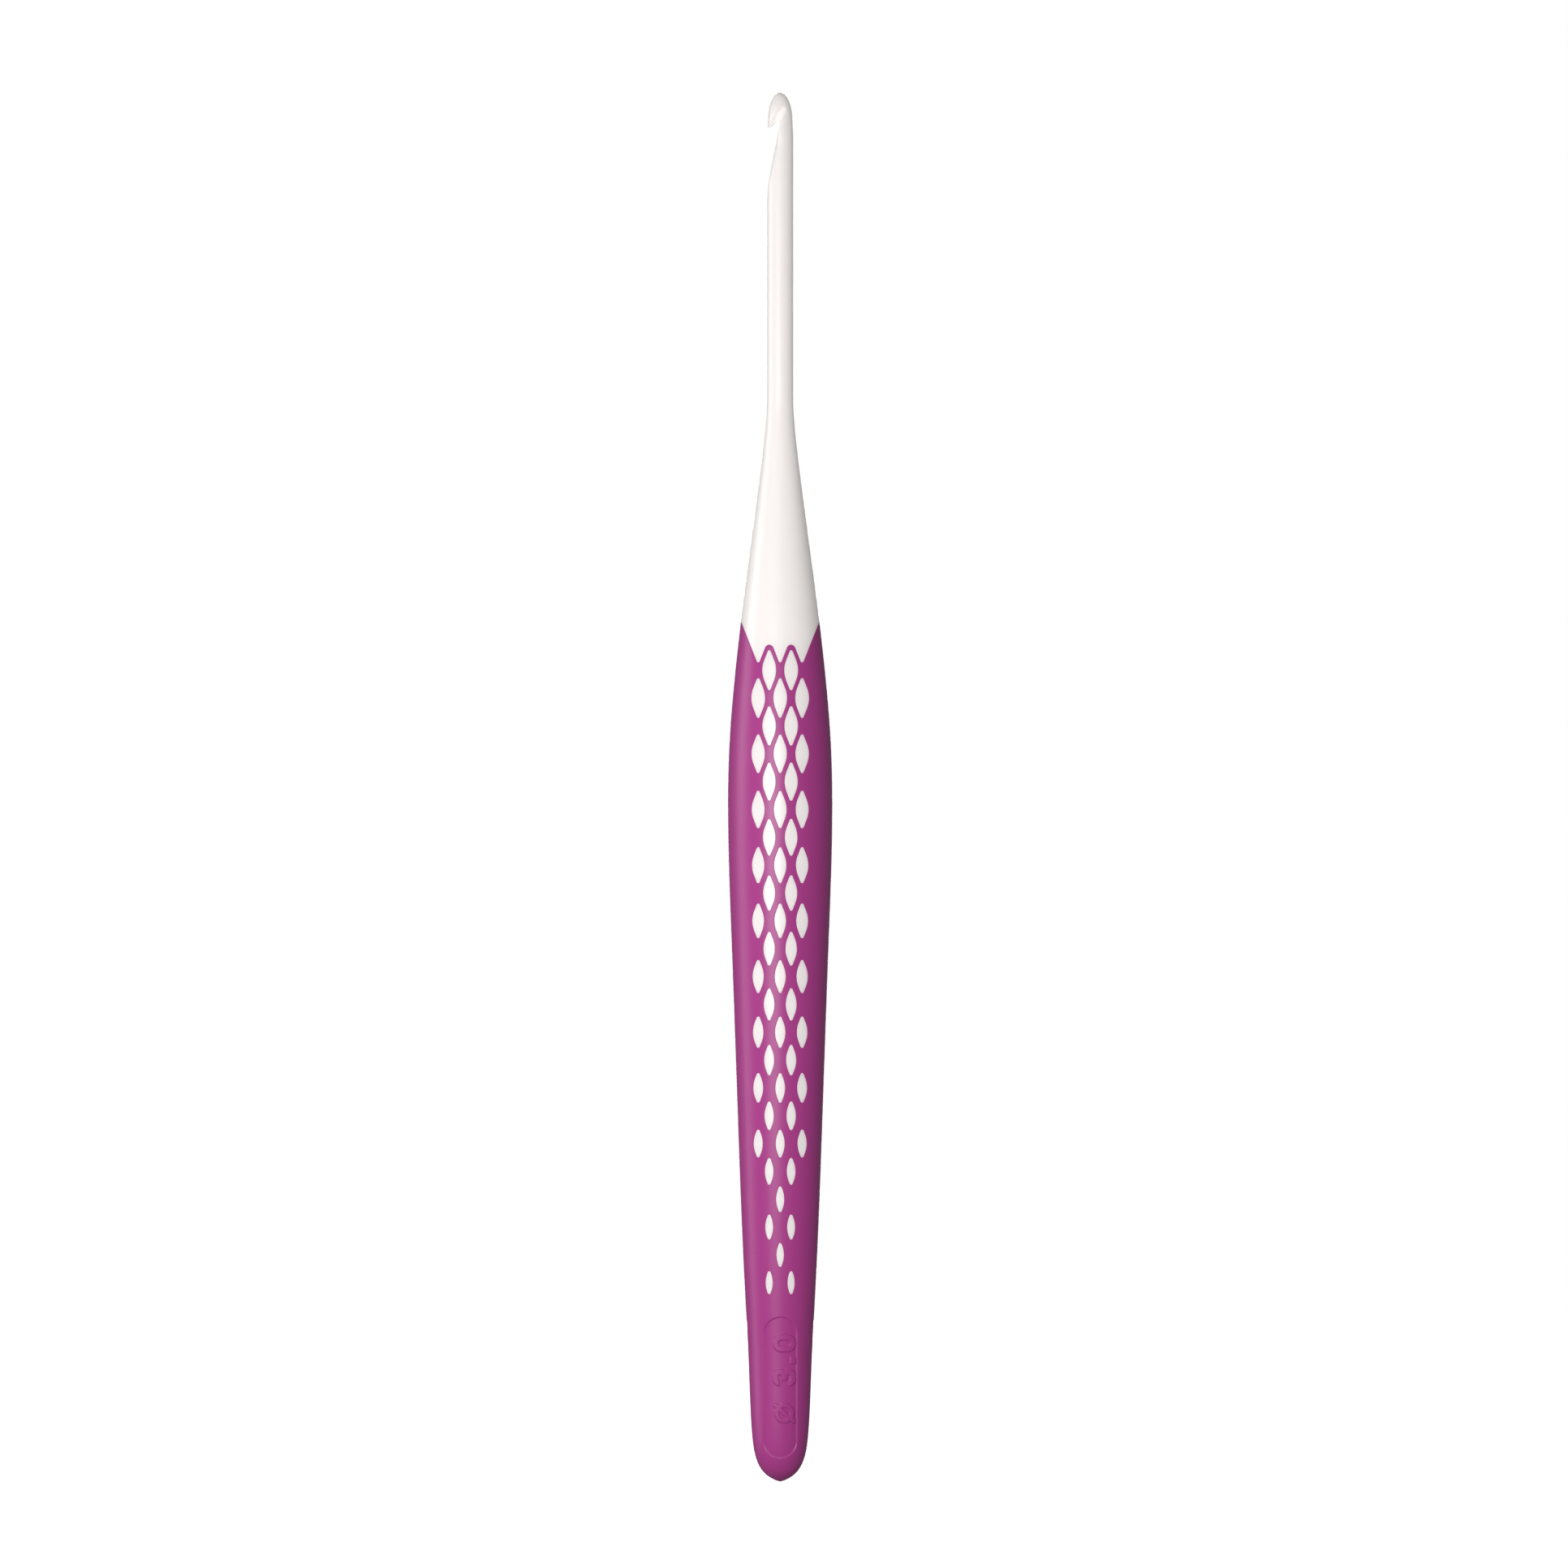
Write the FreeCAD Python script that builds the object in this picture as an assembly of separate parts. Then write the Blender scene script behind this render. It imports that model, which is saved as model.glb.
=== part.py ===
import FreeCAD, Part

import math
import os

# Crochet hook: a hard polymer hook with a soft grip moulded over its handle.
# Millimetres. +Z runs along the hook from the butt end (z = 0) to the tip.
# The throat opens towards -X. The size panel faces -Y; the diamond windows
# are on both faces, -Y and +Y.

V = FreeCAD.Vector

# ---- Lengths along the hook, from the butt end up --------------------------
BUTT_CAP_LEN = 5.5          # rounded end of the handle
CAP_TO_BELLY = 73.1         # handle widens up to its belly
BELLY_TO_GRIP_END = 20.45   # handle narrows up to the side peaks of the sleeve
GRIP_END_TO_SHAFT = 26.05   # bare taper from the sleeve to the shaft
SHAFT_LEN = 22.0            # straight cylinder that sets the stitch size
SHANK_LEN = 9.6             # cut-down shank, from the shaft to the throat roof
NOSE_LEN = 3.3              # throat roof to the tip

# ---- Diameters --------------------------------------------------------------
BUTT_D = 6.5                # where the rounded end meets the handle
BELLY_D = 12.03             # widest place of the handle
GRIP_END_D = 9.06           # at the side peaks of the sleeve
SHAFT_D = 3.0               # the hook's gauge size
HEAD_D = 2.84               # across the head, a little under the shaft

# ---- Shape of the handle between those diameters ----------------------------
# Pairs: share of the stretch's length, share of its change of radius.
CAP_SHAPE = ((0.04, 0.21), (0.2, 0.595), (0.4, 0.8), (0.7, 0.94))
BACK_SHAPE = ((0.09, 0.12), (0.26, 0.34), (0.52, 0.61), (0.78, 0.855))
FRONT_SHAPE = ((0.34, 0.13), (0.68, 0.51))
TAPER_SHAPE = ((0.38, 0.43), (0.74, 0.83))
CAP_POINT_SLOPE = 0.2       # rise over run where the butt end crosses the axis
SEAM_ANGLE = 40.0           # degrees, keeps the round faces' seam clear of the windows

# ---- Throat and lip ---------------------------------------------------------
NECK_T = 1.45               # thickness of the neck beside the throat roof
RUNOUT_R = 19.4             # arc that takes the cut out of the shaft's side
THROAT_R = 0.27             # inside radius of the throat
LIP_R = 0.22                # radius of the lip's end
LIP_SLOPE = 50.0            # degrees, lip's inner edge below the horizontal
LIP_CLEAR = 0.02            # lip's end circle stands this far outside the head
GROOVE_R = 0.4              # guide groove in each face of the head
GROOVE_SHIFT = 0.3          # groove's line from the throat's centre, towards the lip
GROOVE_DEPTH_Y = 0.65       # groove's line from the hook's mid plane at the throat
GROOVE_LEAN = 29.0          # degrees, groove towards the spine
GROOVE_RISE = 24.0          # degrees, groove out towards the face
GROOVE_REACH = 5.0          # length of the groove's cutter past the throat
GROOVE_BACK = 0.15          # length of the cutter before the throat
HEAD_BLEND = 1.9            # length over which the shaft narrows to the head

# ---- Sleeve, windows and zigzag edge ----------------------------------------
SLEEVE_WALL = 1.1           # thickness of the soft grip
COLUMN_STEP = 1.272         # sideways step from one column of windows to the next
ROW_PITCH = 3.203           # step along the hook from one row to the next
SIDE_ANGLE = 21.6           # degrees, sides of a window from the hook's axis
RIB_TOP = 0.435             # rib between windows at the top row
RIB_END = 1.157             # rib between windows at the last row
RIB_POWER = 1.3             # how the rib widens from the top row to the last
TIP_R = 0.18                # corner at a window's top and bottom
SIDE_R = 3.1                # corner at a window's sides
SIDE_SHARE = 0.95           # most of a side's straight length that the side corner may take
PEAK_R = 0.5                # rounded peaks of the sleeve's top edge
WINDOW_FREE_ROWS = 5        # last rows that have no outermost windows
PATTERN_GAP = 3.6           # least distance from the size panel to the last row

# ---- Size panel and its figures ---------------------------------------------
PANEL_START = 2.8           # butt end to the panel
PANEL_LEN = 16.2
PANEL_W = 3.88
PANEL_DEPTH = 0.15
PANEL_END_SHARE = 0.49      # radius of the panel's ends, as a share of its width
FIGURE_MARGIN = 0.1         # panel's edge to the feet of the figures
FIGURE_H = 2.7
FIGURE_STROKE = 0.64
FIGURE_CORNER = 0.1         # radius of a stroke's corners
ZERO_END_SHARE = 0.46       # radius of the 0's ends, as a share of its width
BOWL_END_SHARE = 0.3        # radius of the 3's bowls, as a share of their height
SLOT_END_SHARE = 0.4        # radius of the gaps in its bowls, as a share of their height
ZERO_W = 2.0
THREE_W = 1.9
DOT_W = 0.8
SIGN_D = 2.3                # ring of the diameter sign
ROUND_SHARE = 0.499         # corner radius that makes a square bar round
SIGN_STROKE = 0.5
SIGN_BAR_LEN = 3.3
SIGN_SLANT = 50.0           # degrees, the sign's bar from the line of the figures
SIGN_BAR_END_SHARE = 0.3    # radius of the bar's ends, as a share of its stroke
FIGURE_GAP = 0.6            # between figures
SIGN_GAP = 2.0              # between the diameter sign and the figures
FIGURES_END = 2.0           # last figure to the panel's top end

# ---- Places that follow from those sizes -------------------------------------
belly_z = BUTT_CAP_LEN + CAP_TO_BELLY
grip_end_z = belly_z + BELLY_TO_GRIP_END
shaft_z = grip_end_z + GRIP_END_TO_SHAFT
shank_z = shaft_z + SHAFT_LEN
roof_z = shank_z + SHANK_LEN
tip_z = roof_z + NOSE_LEN

shaft_r = SHAFT_D / 2
head_r = HEAD_D / 2
grip_end_r = GRIP_END_D / 2
outside = BELLY_D            # clear of the whole hook, sideways


def stretch(z0, r0, z1, r1, shape):
    """Points (r, z) between two stations, from the shares in shape."""
    return [(r0 + (r1 - r0) * rise, z0 + (z1 - z0) * along) for along, rise in shape]


def handle_stations():
    """Points (r, z) of the handle's outline, from the butt end to the shaft."""
    butt_r = BUTT_D / 2
    belly_r = BELLY_D / 2
    points = [(0.0, 0.0)]
    points += stretch(0.0, 0.0, BUTT_CAP_LEN, butt_r, CAP_SHAPE)
    points.append((butt_r, BUTT_CAP_LEN))
    points += stretch(BUTT_CAP_LEN, butt_r, belly_z, belly_r, BACK_SHAPE)
    points.append((belly_r, belly_z))
    points += stretch(belly_z, belly_r, grip_end_z, grip_end_r, FRONT_SHAPE)
    points.append((grip_end_r, grip_end_z))
    points += stretch(grip_end_z, grip_end_r, shaft_z, shaft_r, TAPER_SHAPE)
    points.append((shaft_r, shaft_z))
    return points


def smooth_curve(points):
    """Curve through points, level with the cap's slope at its start and upright at its end."""
    lengths = [0.0]
    for last, point in zip(points, points[1:]):
        lengths.append(lengths[-1] + (point - last).Length)
    curve = Part.BSplineCurve()
    curve.interpolate(
        Points=points,
        Parameters=lengths,
        InitialTangent=V(1, 0, CAP_POINT_SLOPE).normalize(),
        FinalTangent=V(0, 0, 1),
        Scale=False,
    )
    return curve


def handle_curve(inset):
    """The handle's outline as one curve in the XZ plane, moved inwards by inset."""
    outer = smooth_curve([V(r, 0, z) for r, z in handle_stations()])
    if inset == 0:
        return outer
    moved = []
    for knot in outer.getKnots():
        along = outer.tangent(knot)[0]
        moved.append(outer.value(knot) + V(-along.z, 0, along.x) * inset)
    moved[0] = V(0, 0, inset * math.hypot(1, CAP_POINT_SLOPE))
    return smooth_curve(moved)


def handle_edges(inset):
    """The handle's outline as two edges that meet at the belly."""
    below = handle_curve(inset)
    above = below.copy()
    belly = below.getKnots()[2 + len(CAP_SHAPE) + len(BACK_SHAPE)]
    below.segment(below.FirstParameter, belly)
    above.segment(belly, above.LastParameter)
    return [below.toShape(), above.toShape()]


def turned(edges, bottom, top):
    """Solid of revolution about Z from an outline between two points on the axis."""
    axis = Part.makeLine(V(0, 0, top), V(0, 0, bottom))
    outline = Part.Wire(Part.sortEdges(edges + [axis])[0])
    solid = Part.Face(outline).revolve(V(0, 0, 0), V(0, 0, 1), 360)
    if solid.Volume < 0:
        solid.reverse()
    solid.rotate(V(0, 0, 0), V(0, 0, 1), SEAM_ANGLE)
    return solid


def envelope():
    """The whole hook before its throat is cut: handle, shaft and nose."""
    narrow_z = roof_z - HEAD_BLEND
    blend = Part.BezierCurve()
    blend.setPoles([
        V(shaft_r, 0, narrow_z),
        V(shaft_r, 0, narrow_z + HEAD_BLEND / 2),
        V(head_r, 0, roof_z - HEAD_BLEND / 2),
        V(head_r, 0, roof_z),
    ])
    nose = Part.Ellipse(V(0, 0, tip_z), V(head_r, 0, roof_z), V(0, 0, roof_z))
    quarter = Part.ArcOfEllipse(nose, 0, math.pi / 2)
    straight = Part.makeLine(V(shaft_r, 0, shaft_z), V(shaft_r, 0, narrow_z))
    edges = handle_edges(0) + [straight, blend.toShape(), quarter.toShape()]
    return turned(edges, 0, tip_z)


def inset_handle(inset):
    """The handle inside a skin of the given thickness, closed on the axis at the shaft."""
    curve = handle_curve(inset)
    top = curve.EndPoint
    edges = handle_edges(inset) + [Part.makeLine(top, V(0, 0, top.z))]
    return turned(edges, curve.StartPoint.z, top.z)


def rounded_outline(corners, radii):
    """Closed wire in the XZ plane through corners (x, z), each rounded by its radius."""
    points = [V(x, 0, z) for x, z in corners]
    count = len(points)
    edges = []
    spans = []
    for i, corner in enumerate(points):
        back = (points[i - 1] - corner).normalize()
        ahead = (points[(i + 1) % count] - corner).normalize()
        half = back.getAngle(ahead) / 2
        setback = radii[i] / math.tan(half)
        middle = (back + ahead).normalize() * (radii[i] / math.sin(half) - radii[i])
        spans.append((corner + back * setback, corner + middle, corner + ahead * setback))
    for i, (first, middle, last) in enumerate(spans):
        if radii[i] > 0:
            edges.append(Part.Arc(first, middle, last).toShape())
        edges.append(Part.makeLine(last, spans[(i + 1) % count][0]))
    return Part.Wire(edges)


def through(face):
    """Prism of a face in the XZ plane, right through the hook along Y."""
    moved = face.copy()
    moved.translate(V(0, -outside, 0))
    return moved.extrude(V(0, 2 * outside, 0))


def into_front(face):
    """Prism of a face in the XZ plane, from the axis out through the front (-Y)."""
    return face.extrude(V(0, -outside, 0))


# ---- Windows -----------------------------------------------------------------
side = math.radians(SIDE_ANGLE)


def window_half_height(rib):
    """Half height of a window's sharp diamond that leaves this rib to its neighbours."""
    across = COLUMN_STEP * math.cos(side) + ROW_PITCH * math.sin(side)
    return (across - rib) / (2 * math.sin(side))


shoulder_half = window_half_height(RIB_TOP)
valley_z = grip_end_z - (grip_end_r - 2 * COLUMN_STEP) / math.tan(side)
first_row_z = valley_z + shoulder_half - ROW_PITCH
panel_end = PANEL_START + PANEL_LEN
row_count = 1 + int((first_row_z - panel_end - PATTERN_GAP) / ROW_PITCH)


def window(column, row):
    """One window's outline; row 1 is the top row, columns run from -2 to 2."""
    share = (row - 1) / (row_count - 1)
    half = window_half_height(RIB_TOP + (RIB_END - RIB_TOP) * share ** RIB_POWER)
    wide = half * math.tan(side)
    x = column * COLUMN_STEP
    z = first_row_z - (row - 1) * ROW_PITCH
    straight = half / math.cos(side) - TIP_R / math.tan(side)
    side_r = min(SIDE_R, SIDE_SHARE * straight / math.tan(side))
    corners = [(x, z + half), (x - wide, z), (x, z - half), (x + wide, z)]
    return rounded_outline(corners, [TIP_R, side_r, TIP_R, side_r])


def windows():
    """Prisms of every window: odd rows have columns -1 and 1, even rows -2, 0 and 2."""
    found = []
    for row in range(1, row_count + 1):
        if row % 2:
            columns = (-1, 1)
        elif row <= row_count - WINDOW_FREE_ROWS:
            columns = (-2, 0, 2)
        else:
            columns = (0,)
        found += [through(Part.Face(window(column, row))) for column in columns]
    return Part.makeCompound(found)


def under_shoulder():
    """Prism along Y that holds the sleeve: everything under its zigzag top edge."""
    far = outside
    peak_z = valley_z + COLUMN_STEP / math.tan(side)
    far_z = valley_z + (far - 2 * COLUMN_STEP) / math.tan(side)
    corners = [
        (-far, -far),
        (far, -far),
        (far, far_z),
        (2 * COLUMN_STEP, valley_z),
        (COLUMN_STEP, peak_z),
        (0, valley_z),
        (-COLUMN_STEP, peak_z),
        (-2 * COLUMN_STEP, valley_z),
        (-far, far_z),
    ]
    radii = [0, 0, 0, TIP_R, PEAK_R, TIP_R, PEAK_R, TIP_R, 0]
    return through(Part.Face(rounded_outline(corners, radii)))


# ---- Size panel ----------------------------------------------------------------
# The figures read from the butt end up: u runs along +Z, v is their height, towards -X.
feet_x = PANEL_W / 2 - FIGURE_MARGIN
zero_u = panel_end - FIGURES_END - ZERO_W
dot_u = zero_u - FIGURE_GAP - DOT_W
three_u = dot_u - FIGURE_GAP - THREE_W
sign_u = three_u - SIGN_GAP - SIGN_D


def bar(u, v, wide, high, corner):
    """Face of a bar with rounded corners; (u, v) is its lower left corner."""
    corners = [(feet_x - v, u), (feet_x - v, u + wide)]
    corners += [(feet_x - v - high, u + wide), (feet_x - v - high, u)]
    return Part.Face(rounded_outline(corners, [corner] * 4))


def zero():
    """The figure 0: a tall rounded ring."""
    inner_w = ZERO_W - 2 * FIGURE_STROKE
    inner_h = FIGURE_H - 2 * FIGURE_STROKE
    end_r = ZERO_END_SHARE * inner_w
    outer = bar(zero_u, 0, ZERO_W, FIGURE_H, ZERO_END_SHARE * ZERO_W)
    inner = bar(zero_u + FIGURE_STROKE, FIGURE_STROKE, inner_w, inner_h, end_r)
    return outer.cut(inner)


def three():
    """The figure 3: two bowls, one over the other, each open towards its left."""
    bowl_h = (FIGURE_H + FIGURE_STROKE) / 2
    slot_h = bowl_h - 2 * FIGURE_STROKE
    slot_w = 2 * (THREE_W - FIGURE_STROKE)
    end_r = BOWL_END_SHARE * bowl_h
    shape = bar(three_u, 0, THREE_W, bowl_h, end_r)
    shape = shape.fuse(bar(three_u, FIGURE_H - bowl_h, THREE_W, bowl_h, end_r))
    for v in (FIGURE_STROKE, FIGURE_H - FIGURE_STROKE - slot_h):
        shape = shape.cut(bar(three_u - slot_w / 2, v, slot_w, slot_h, SLOT_END_SHARE * slot_h))
    middle = FIGURE_H - 2 * FIGURE_STROKE
    notch = bar(three_u - FIGURE_STROKE, FIGURE_STROKE, 2 * FIGURE_STROKE, middle, FIGURE_CORNER)
    return shape.cut(notch)


def diameter_sign():
    """A plain diameter sign: a ring with a slanting bar."""
    centre_v = FIGURE_H / 2
    centre_u = sign_u + SIGN_D / 2
    outer = bar(sign_u, centre_v - SIGN_D / 2, SIGN_D, SIGN_D, ROUND_SHARE * SIGN_D)
    hole_d = SIGN_D - 2 * SIGN_STROKE
    hole = bar(sign_u + SIGN_STROKE, centre_v - hole_d / 2, hole_d, hole_d, ROUND_SHARE * hole_d)
    slash = bar(
        centre_u - SIGN_BAR_LEN / 2,
        centre_v - SIGN_STROKE / 2,
        SIGN_BAR_LEN,
        SIGN_STROKE,
        SIGN_BAR_END_SHARE * SIGN_STROKE,
    )
    slash.rotate(V(feet_x - centre_v, 0, centre_u), V(0, 1, 0), -SIGN_SLANT)
    return outer.cut(hole).fuse(slash)


def panel_recess():
    """The shallow pocket of the size panel, with the figures left standing in it."""
    corners = [(-PANEL_W / 2, PANEL_START), (PANEL_W / 2, PANEL_START)]
    corners += [(PANEL_W / 2, panel_end), (-PANEL_W / 2, panel_end)]
    face = Part.Face(rounded_outline(corners, [PANEL_END_SHARE * PANEL_W] * 4))
    dot = bar(dot_u, 0, DOT_W, FIGURE_STROKE, FIGURE_CORNER)
    pocket = into_front(face)
    for figure in (zero(), dot, three(), diameter_sign()):
        pocket = pocket.cut(into_front(figure))
    return pocket.cut(inset_handle(PANEL_DEPTH))


# ---- Throat ----------------------------------------------------------------------
def neck_lean():
    """Angle of the neck's cut from the axis: it leaves the shaft's side on the
    run-out arc and reaches the throat roof at the neck's thickness."""
    cut_in = SHAFT_D - NECK_T
    reach = math.hypot(SHANK_LEN, RUNOUT_R - cut_in)
    return math.asin(RUNOUT_R / reach) - math.atan2(RUNOUT_R - cut_in, SHANK_LEN)


def throat_cut():
    """Prism along Y that opens the throat and cuts the shank down."""
    lean = neck_lean()
    slope = math.radians(LIP_SLOPE)
    side_x = -shaft_r
    arc_x = side_x + RUNOUT_R
    runout_mid = V(arc_x - RUNOUT_R * math.cos(lean / 2), 0, shank_z + RUNOUT_R * math.sin(lean / 2))
    runout_end = V(arc_x - RUNOUT_R * math.cos(lean), 0, shank_z + RUNOUT_R * math.sin(lean))

    # Throat: a circle that touches the neck line and has its top at the roof.
    round_z = roof_z - THROAT_R
    neck_x = shaft_r - NECK_T - THROAT_R * math.tan(lean)
    centre = V(neck_x - THROAT_R / math.cos(lean), 0, round_z)
    throat_start = centre + V(math.cos(lean), 0, -math.sin(lean)) * THROAT_R
    throat_top = centre + V(0, 0, THROAT_R)
    throat_end = centre + V(-math.sin(slope), 0, math.cos(slope)) * THROAT_R

    # Lip: a circle that touches the lip's inner edge and the side of the head.
    lip_x = -head_r - LIP_CLEAR + LIP_R
    drop = (math.sin(slope) * (throat_end.x - lip_x) - LIP_R) / math.cos(slope)
    lip = V(lip_x, 0, throat_end.z - drop)
    lip_start = lip + V(math.sin(slope), 0, -math.cos(slope)) * LIP_R
    lip_low = lip + V(0, 0, -LIP_R)
    lip_end = lip + V(-LIP_R, 0, 0)

    edges = [
        Part.makeLine(V(-outside, 0, shank_z), V(side_x, 0, shank_z)),
        Part.Arc(V(side_x, 0, shank_z), runout_mid, runout_end).toShape(),
        Part.makeLine(runout_end, throat_start),
        Part.Arc(throat_start, throat_top, throat_end).toShape(),
        Part.makeLine(throat_end, lip_start),
        Part.Arc(lip_start, lip_low, lip_end).toShape(),
        Part.makeLine(lip_end, V(-outside, 0, lip.z)),
        Part.makeLine(V(-outside, 0, lip.z), V(-outside, 0, shank_z)),
    ]
    return through(Part.Face(Part.Wire(edges))), centre


def guide_groove(centre, facing):
    """Round-bottomed slot, open to one face of the head, from the throat roof up and out."""
    lean = math.radians(GROOVE_LEAN)
    rise = math.radians(GROOVE_RISE)
    along = V(
        math.sin(lean) * math.cos(rise),
        facing * math.sin(rise),
        math.cos(lean) * math.cos(rise),
    )
    outward = V(
        -math.sin(lean) * math.sin(rise),
        facing * math.cos(rise),
        -math.cos(lean) * math.sin(rise),
    )
    across = V(math.cos(lean), 0, -math.sin(lean)) * GROOVE_R
    start = centre + V(-GROOVE_SHIFT, facing * GROOVE_DEPTH_Y, 0) - along * GROOVE_BACK
    open_side = outward * outside
    edges = [
        Part.Arc(start - across, start - outward * GROOVE_R, start + across).toShape(),
        Part.makeLine(start + across, start + across + open_side),
        Part.makeLine(start + across + open_side, start - across + open_side),
        Part.makeLine(start - across + open_side, start - across),
    ]
    return Part.Face(Part.Wire(edges)).extrude(along * (GROOVE_BACK + GROOVE_REACH))


# ---- The two pieces -----------------------------------------------------------------
whole = envelope()
skin = whole.cut(inset_handle(SLEEVE_WALL))
sleeve_blank = skin.common(under_shoulder()).cut(windows())

throat, throat_centre = throat_cut()
hook_core = whole.cut(sleeve_blank)
hook_core = hook_core.cut(throat)
for facing in (-1, 1):
    hook_core = hook_core.cut(guide_groove(throat_centre, facing))

grip_sleeve = sleeve_blank.cut(panel_recess())

os.makedirs("parts", exist_ok=True)
for name, shape in (("hook_core", hook_core), ("grip_sleeve", grip_sleeve)):
    print(name, [(solid.isValid(), round(solid.Volume, 2)) for solid in shape.Solids])
    shape.exportStep(f"parts/{name}.step")
print("overlap", round(hook_core.common(grip_sleeve).Volume, 4))
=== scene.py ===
"""Crochet hook: the moulded core and the soft grip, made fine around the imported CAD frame."""
import logging
import math
from dataclasses import dataclass, field
from enum import Enum

import bmesh
import bpy
import numpy as np
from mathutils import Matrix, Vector


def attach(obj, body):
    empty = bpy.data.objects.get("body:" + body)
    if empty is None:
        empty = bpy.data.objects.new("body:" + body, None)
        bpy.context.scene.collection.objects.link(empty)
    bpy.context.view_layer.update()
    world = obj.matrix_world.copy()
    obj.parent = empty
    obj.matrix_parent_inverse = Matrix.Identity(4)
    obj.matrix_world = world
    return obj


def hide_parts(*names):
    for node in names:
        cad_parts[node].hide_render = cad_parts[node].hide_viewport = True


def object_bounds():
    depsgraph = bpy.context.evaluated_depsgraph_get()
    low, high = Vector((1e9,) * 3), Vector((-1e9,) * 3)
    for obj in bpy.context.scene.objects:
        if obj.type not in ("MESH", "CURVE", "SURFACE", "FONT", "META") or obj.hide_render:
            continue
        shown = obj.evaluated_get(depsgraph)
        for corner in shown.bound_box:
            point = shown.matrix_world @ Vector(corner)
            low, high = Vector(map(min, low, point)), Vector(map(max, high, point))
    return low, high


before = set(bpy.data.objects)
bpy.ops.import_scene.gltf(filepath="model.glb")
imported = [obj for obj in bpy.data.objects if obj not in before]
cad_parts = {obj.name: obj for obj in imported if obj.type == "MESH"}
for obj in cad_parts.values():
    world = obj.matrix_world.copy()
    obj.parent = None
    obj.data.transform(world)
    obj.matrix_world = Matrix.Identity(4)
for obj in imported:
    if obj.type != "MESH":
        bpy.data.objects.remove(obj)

cad_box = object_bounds()
log = logging.getLogger("hook")

MM = 0.001          # metres in a millimetre; shapes are worked out in millimetres
MERGE = 1e-6        # metres, points closer than this are one
FLAT = 1e-7         # metres, edges shorter than this are dissolved
TINY = 1e-6         # millimetres, keeps a radius above zero
TINY_SQUARE = 1e-9  # square millimetres, keeps a squared distance above zero
TURN = 2 * math.pi
SIDE_DEG = 21.6     # degrees, sides of a window from the hook's axis
BAND_ROWS = 6       # rows of the band between the lattice and the butt end


class Facing(Enum):
    """Which face of the hook a surface is on; the value is the sign of Y."""

    FRONT = -1
    BACK = 1


class Side(Enum):
    """Which side of the hook a surface is on; the value is the sign of X."""

    LEFT = -1
    RIGHT = 1


# ---- Tools for grids ---------------------------------------------------------
def quads(rows: int, cols: int, closed: bool) -> np.ndarray:
    """Faces of a grid of points, numbered row by row.

    Args:
        rows: number of rows of points.
        cols: number of points in a row.
        closed: whether each row is a ring.

    Returns:
        Corner numbers, four to a face.
    """
    last = cols if closed else cols - 1
    i, j = np.meshgrid(np.arange(rows - 1), np.arange(last), indexing="ij")
    k = (j + 1) % cols
    faces = np.stack([i * cols + j, i * cols + k, (i + 1) * cols + k, (i + 1) * cols + j], -1)
    return faces.reshape(-1, 4)


def round_max(a: np.ndarray, b: np.ndarray, radius: np.ndarray) -> np.ndarray:
    """Distance field of what is inside both a and b, its edge rounded.

    Formula: the larger of the two where either is deeper than the radius, and
    otherwise the length of (a + radius, b + radius), less the radius.

    Args:
        a: first field, negative inside.
        b: second field, negative inside.
        radius: radius of the rounded edge.

    Returns:
        The joined field.
    """
    reach = np.hypot(np.maximum(a + radius, 0), np.maximum(b + radius, 0))
    return np.minimum(-radius, np.maximum(a, b)) + reach


def soft_step(value: np.ndarray) -> np.ndarray:
    """Smooth step from 0 at -1 to 1 at +1: t * t * (3 - 2 t) with t = (value + 1) / 2."""
    t = np.clip((value + 1) / 2, 0, 1)
    return t * t * (3 - 2 * t)


def box_distance(
    u: np.ndarray, v: np.ndarray, wide: float, high: float, corner: float
) -> np.ndarray:
    """Distance outside a rounded box about the origin.

    Formula: the length of what (|u|, |v|) exceeds the box less its corners by,
    less the corner radius, and the larger of the two excesses inside.

    Args:
        u: places along the box's width.
        v: places along its height.
        wide: width.
        high: height.
        corner: corner radius.

    Returns:
        Distance, negative inside.
    """
    a = np.abs(u) - wide / 2 + corner
    b = np.abs(v) - high / 2 + corner
    return np.hypot(np.maximum(a, 0), np.maximum(b, 0)) + np.minimum(np.maximum(a, b), 0) - corner


def mirrored_loop(alpha: np.ndarray, z: np.ndarray) -> tuple[np.ndarray, np.ndarray]:
    """A closed loop round the hook from its quarter between the front and the right side.

    Args:
        alpha: angles of the quarter's points, from 0 (front) to a quarter turn.
        z: their heights.

    Returns:
        Angles and heights of the whole loop, each point once.
    """
    half = TURN / 2
    angles = [alpha, half - alpha[-2::-1], half + alpha[1:], TURN - alpha[-2:0:-1]]
    return np.concatenate(angles), np.concatenate([z, z[-2::-1], z[1:], z[-2:0:-1]])


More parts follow.
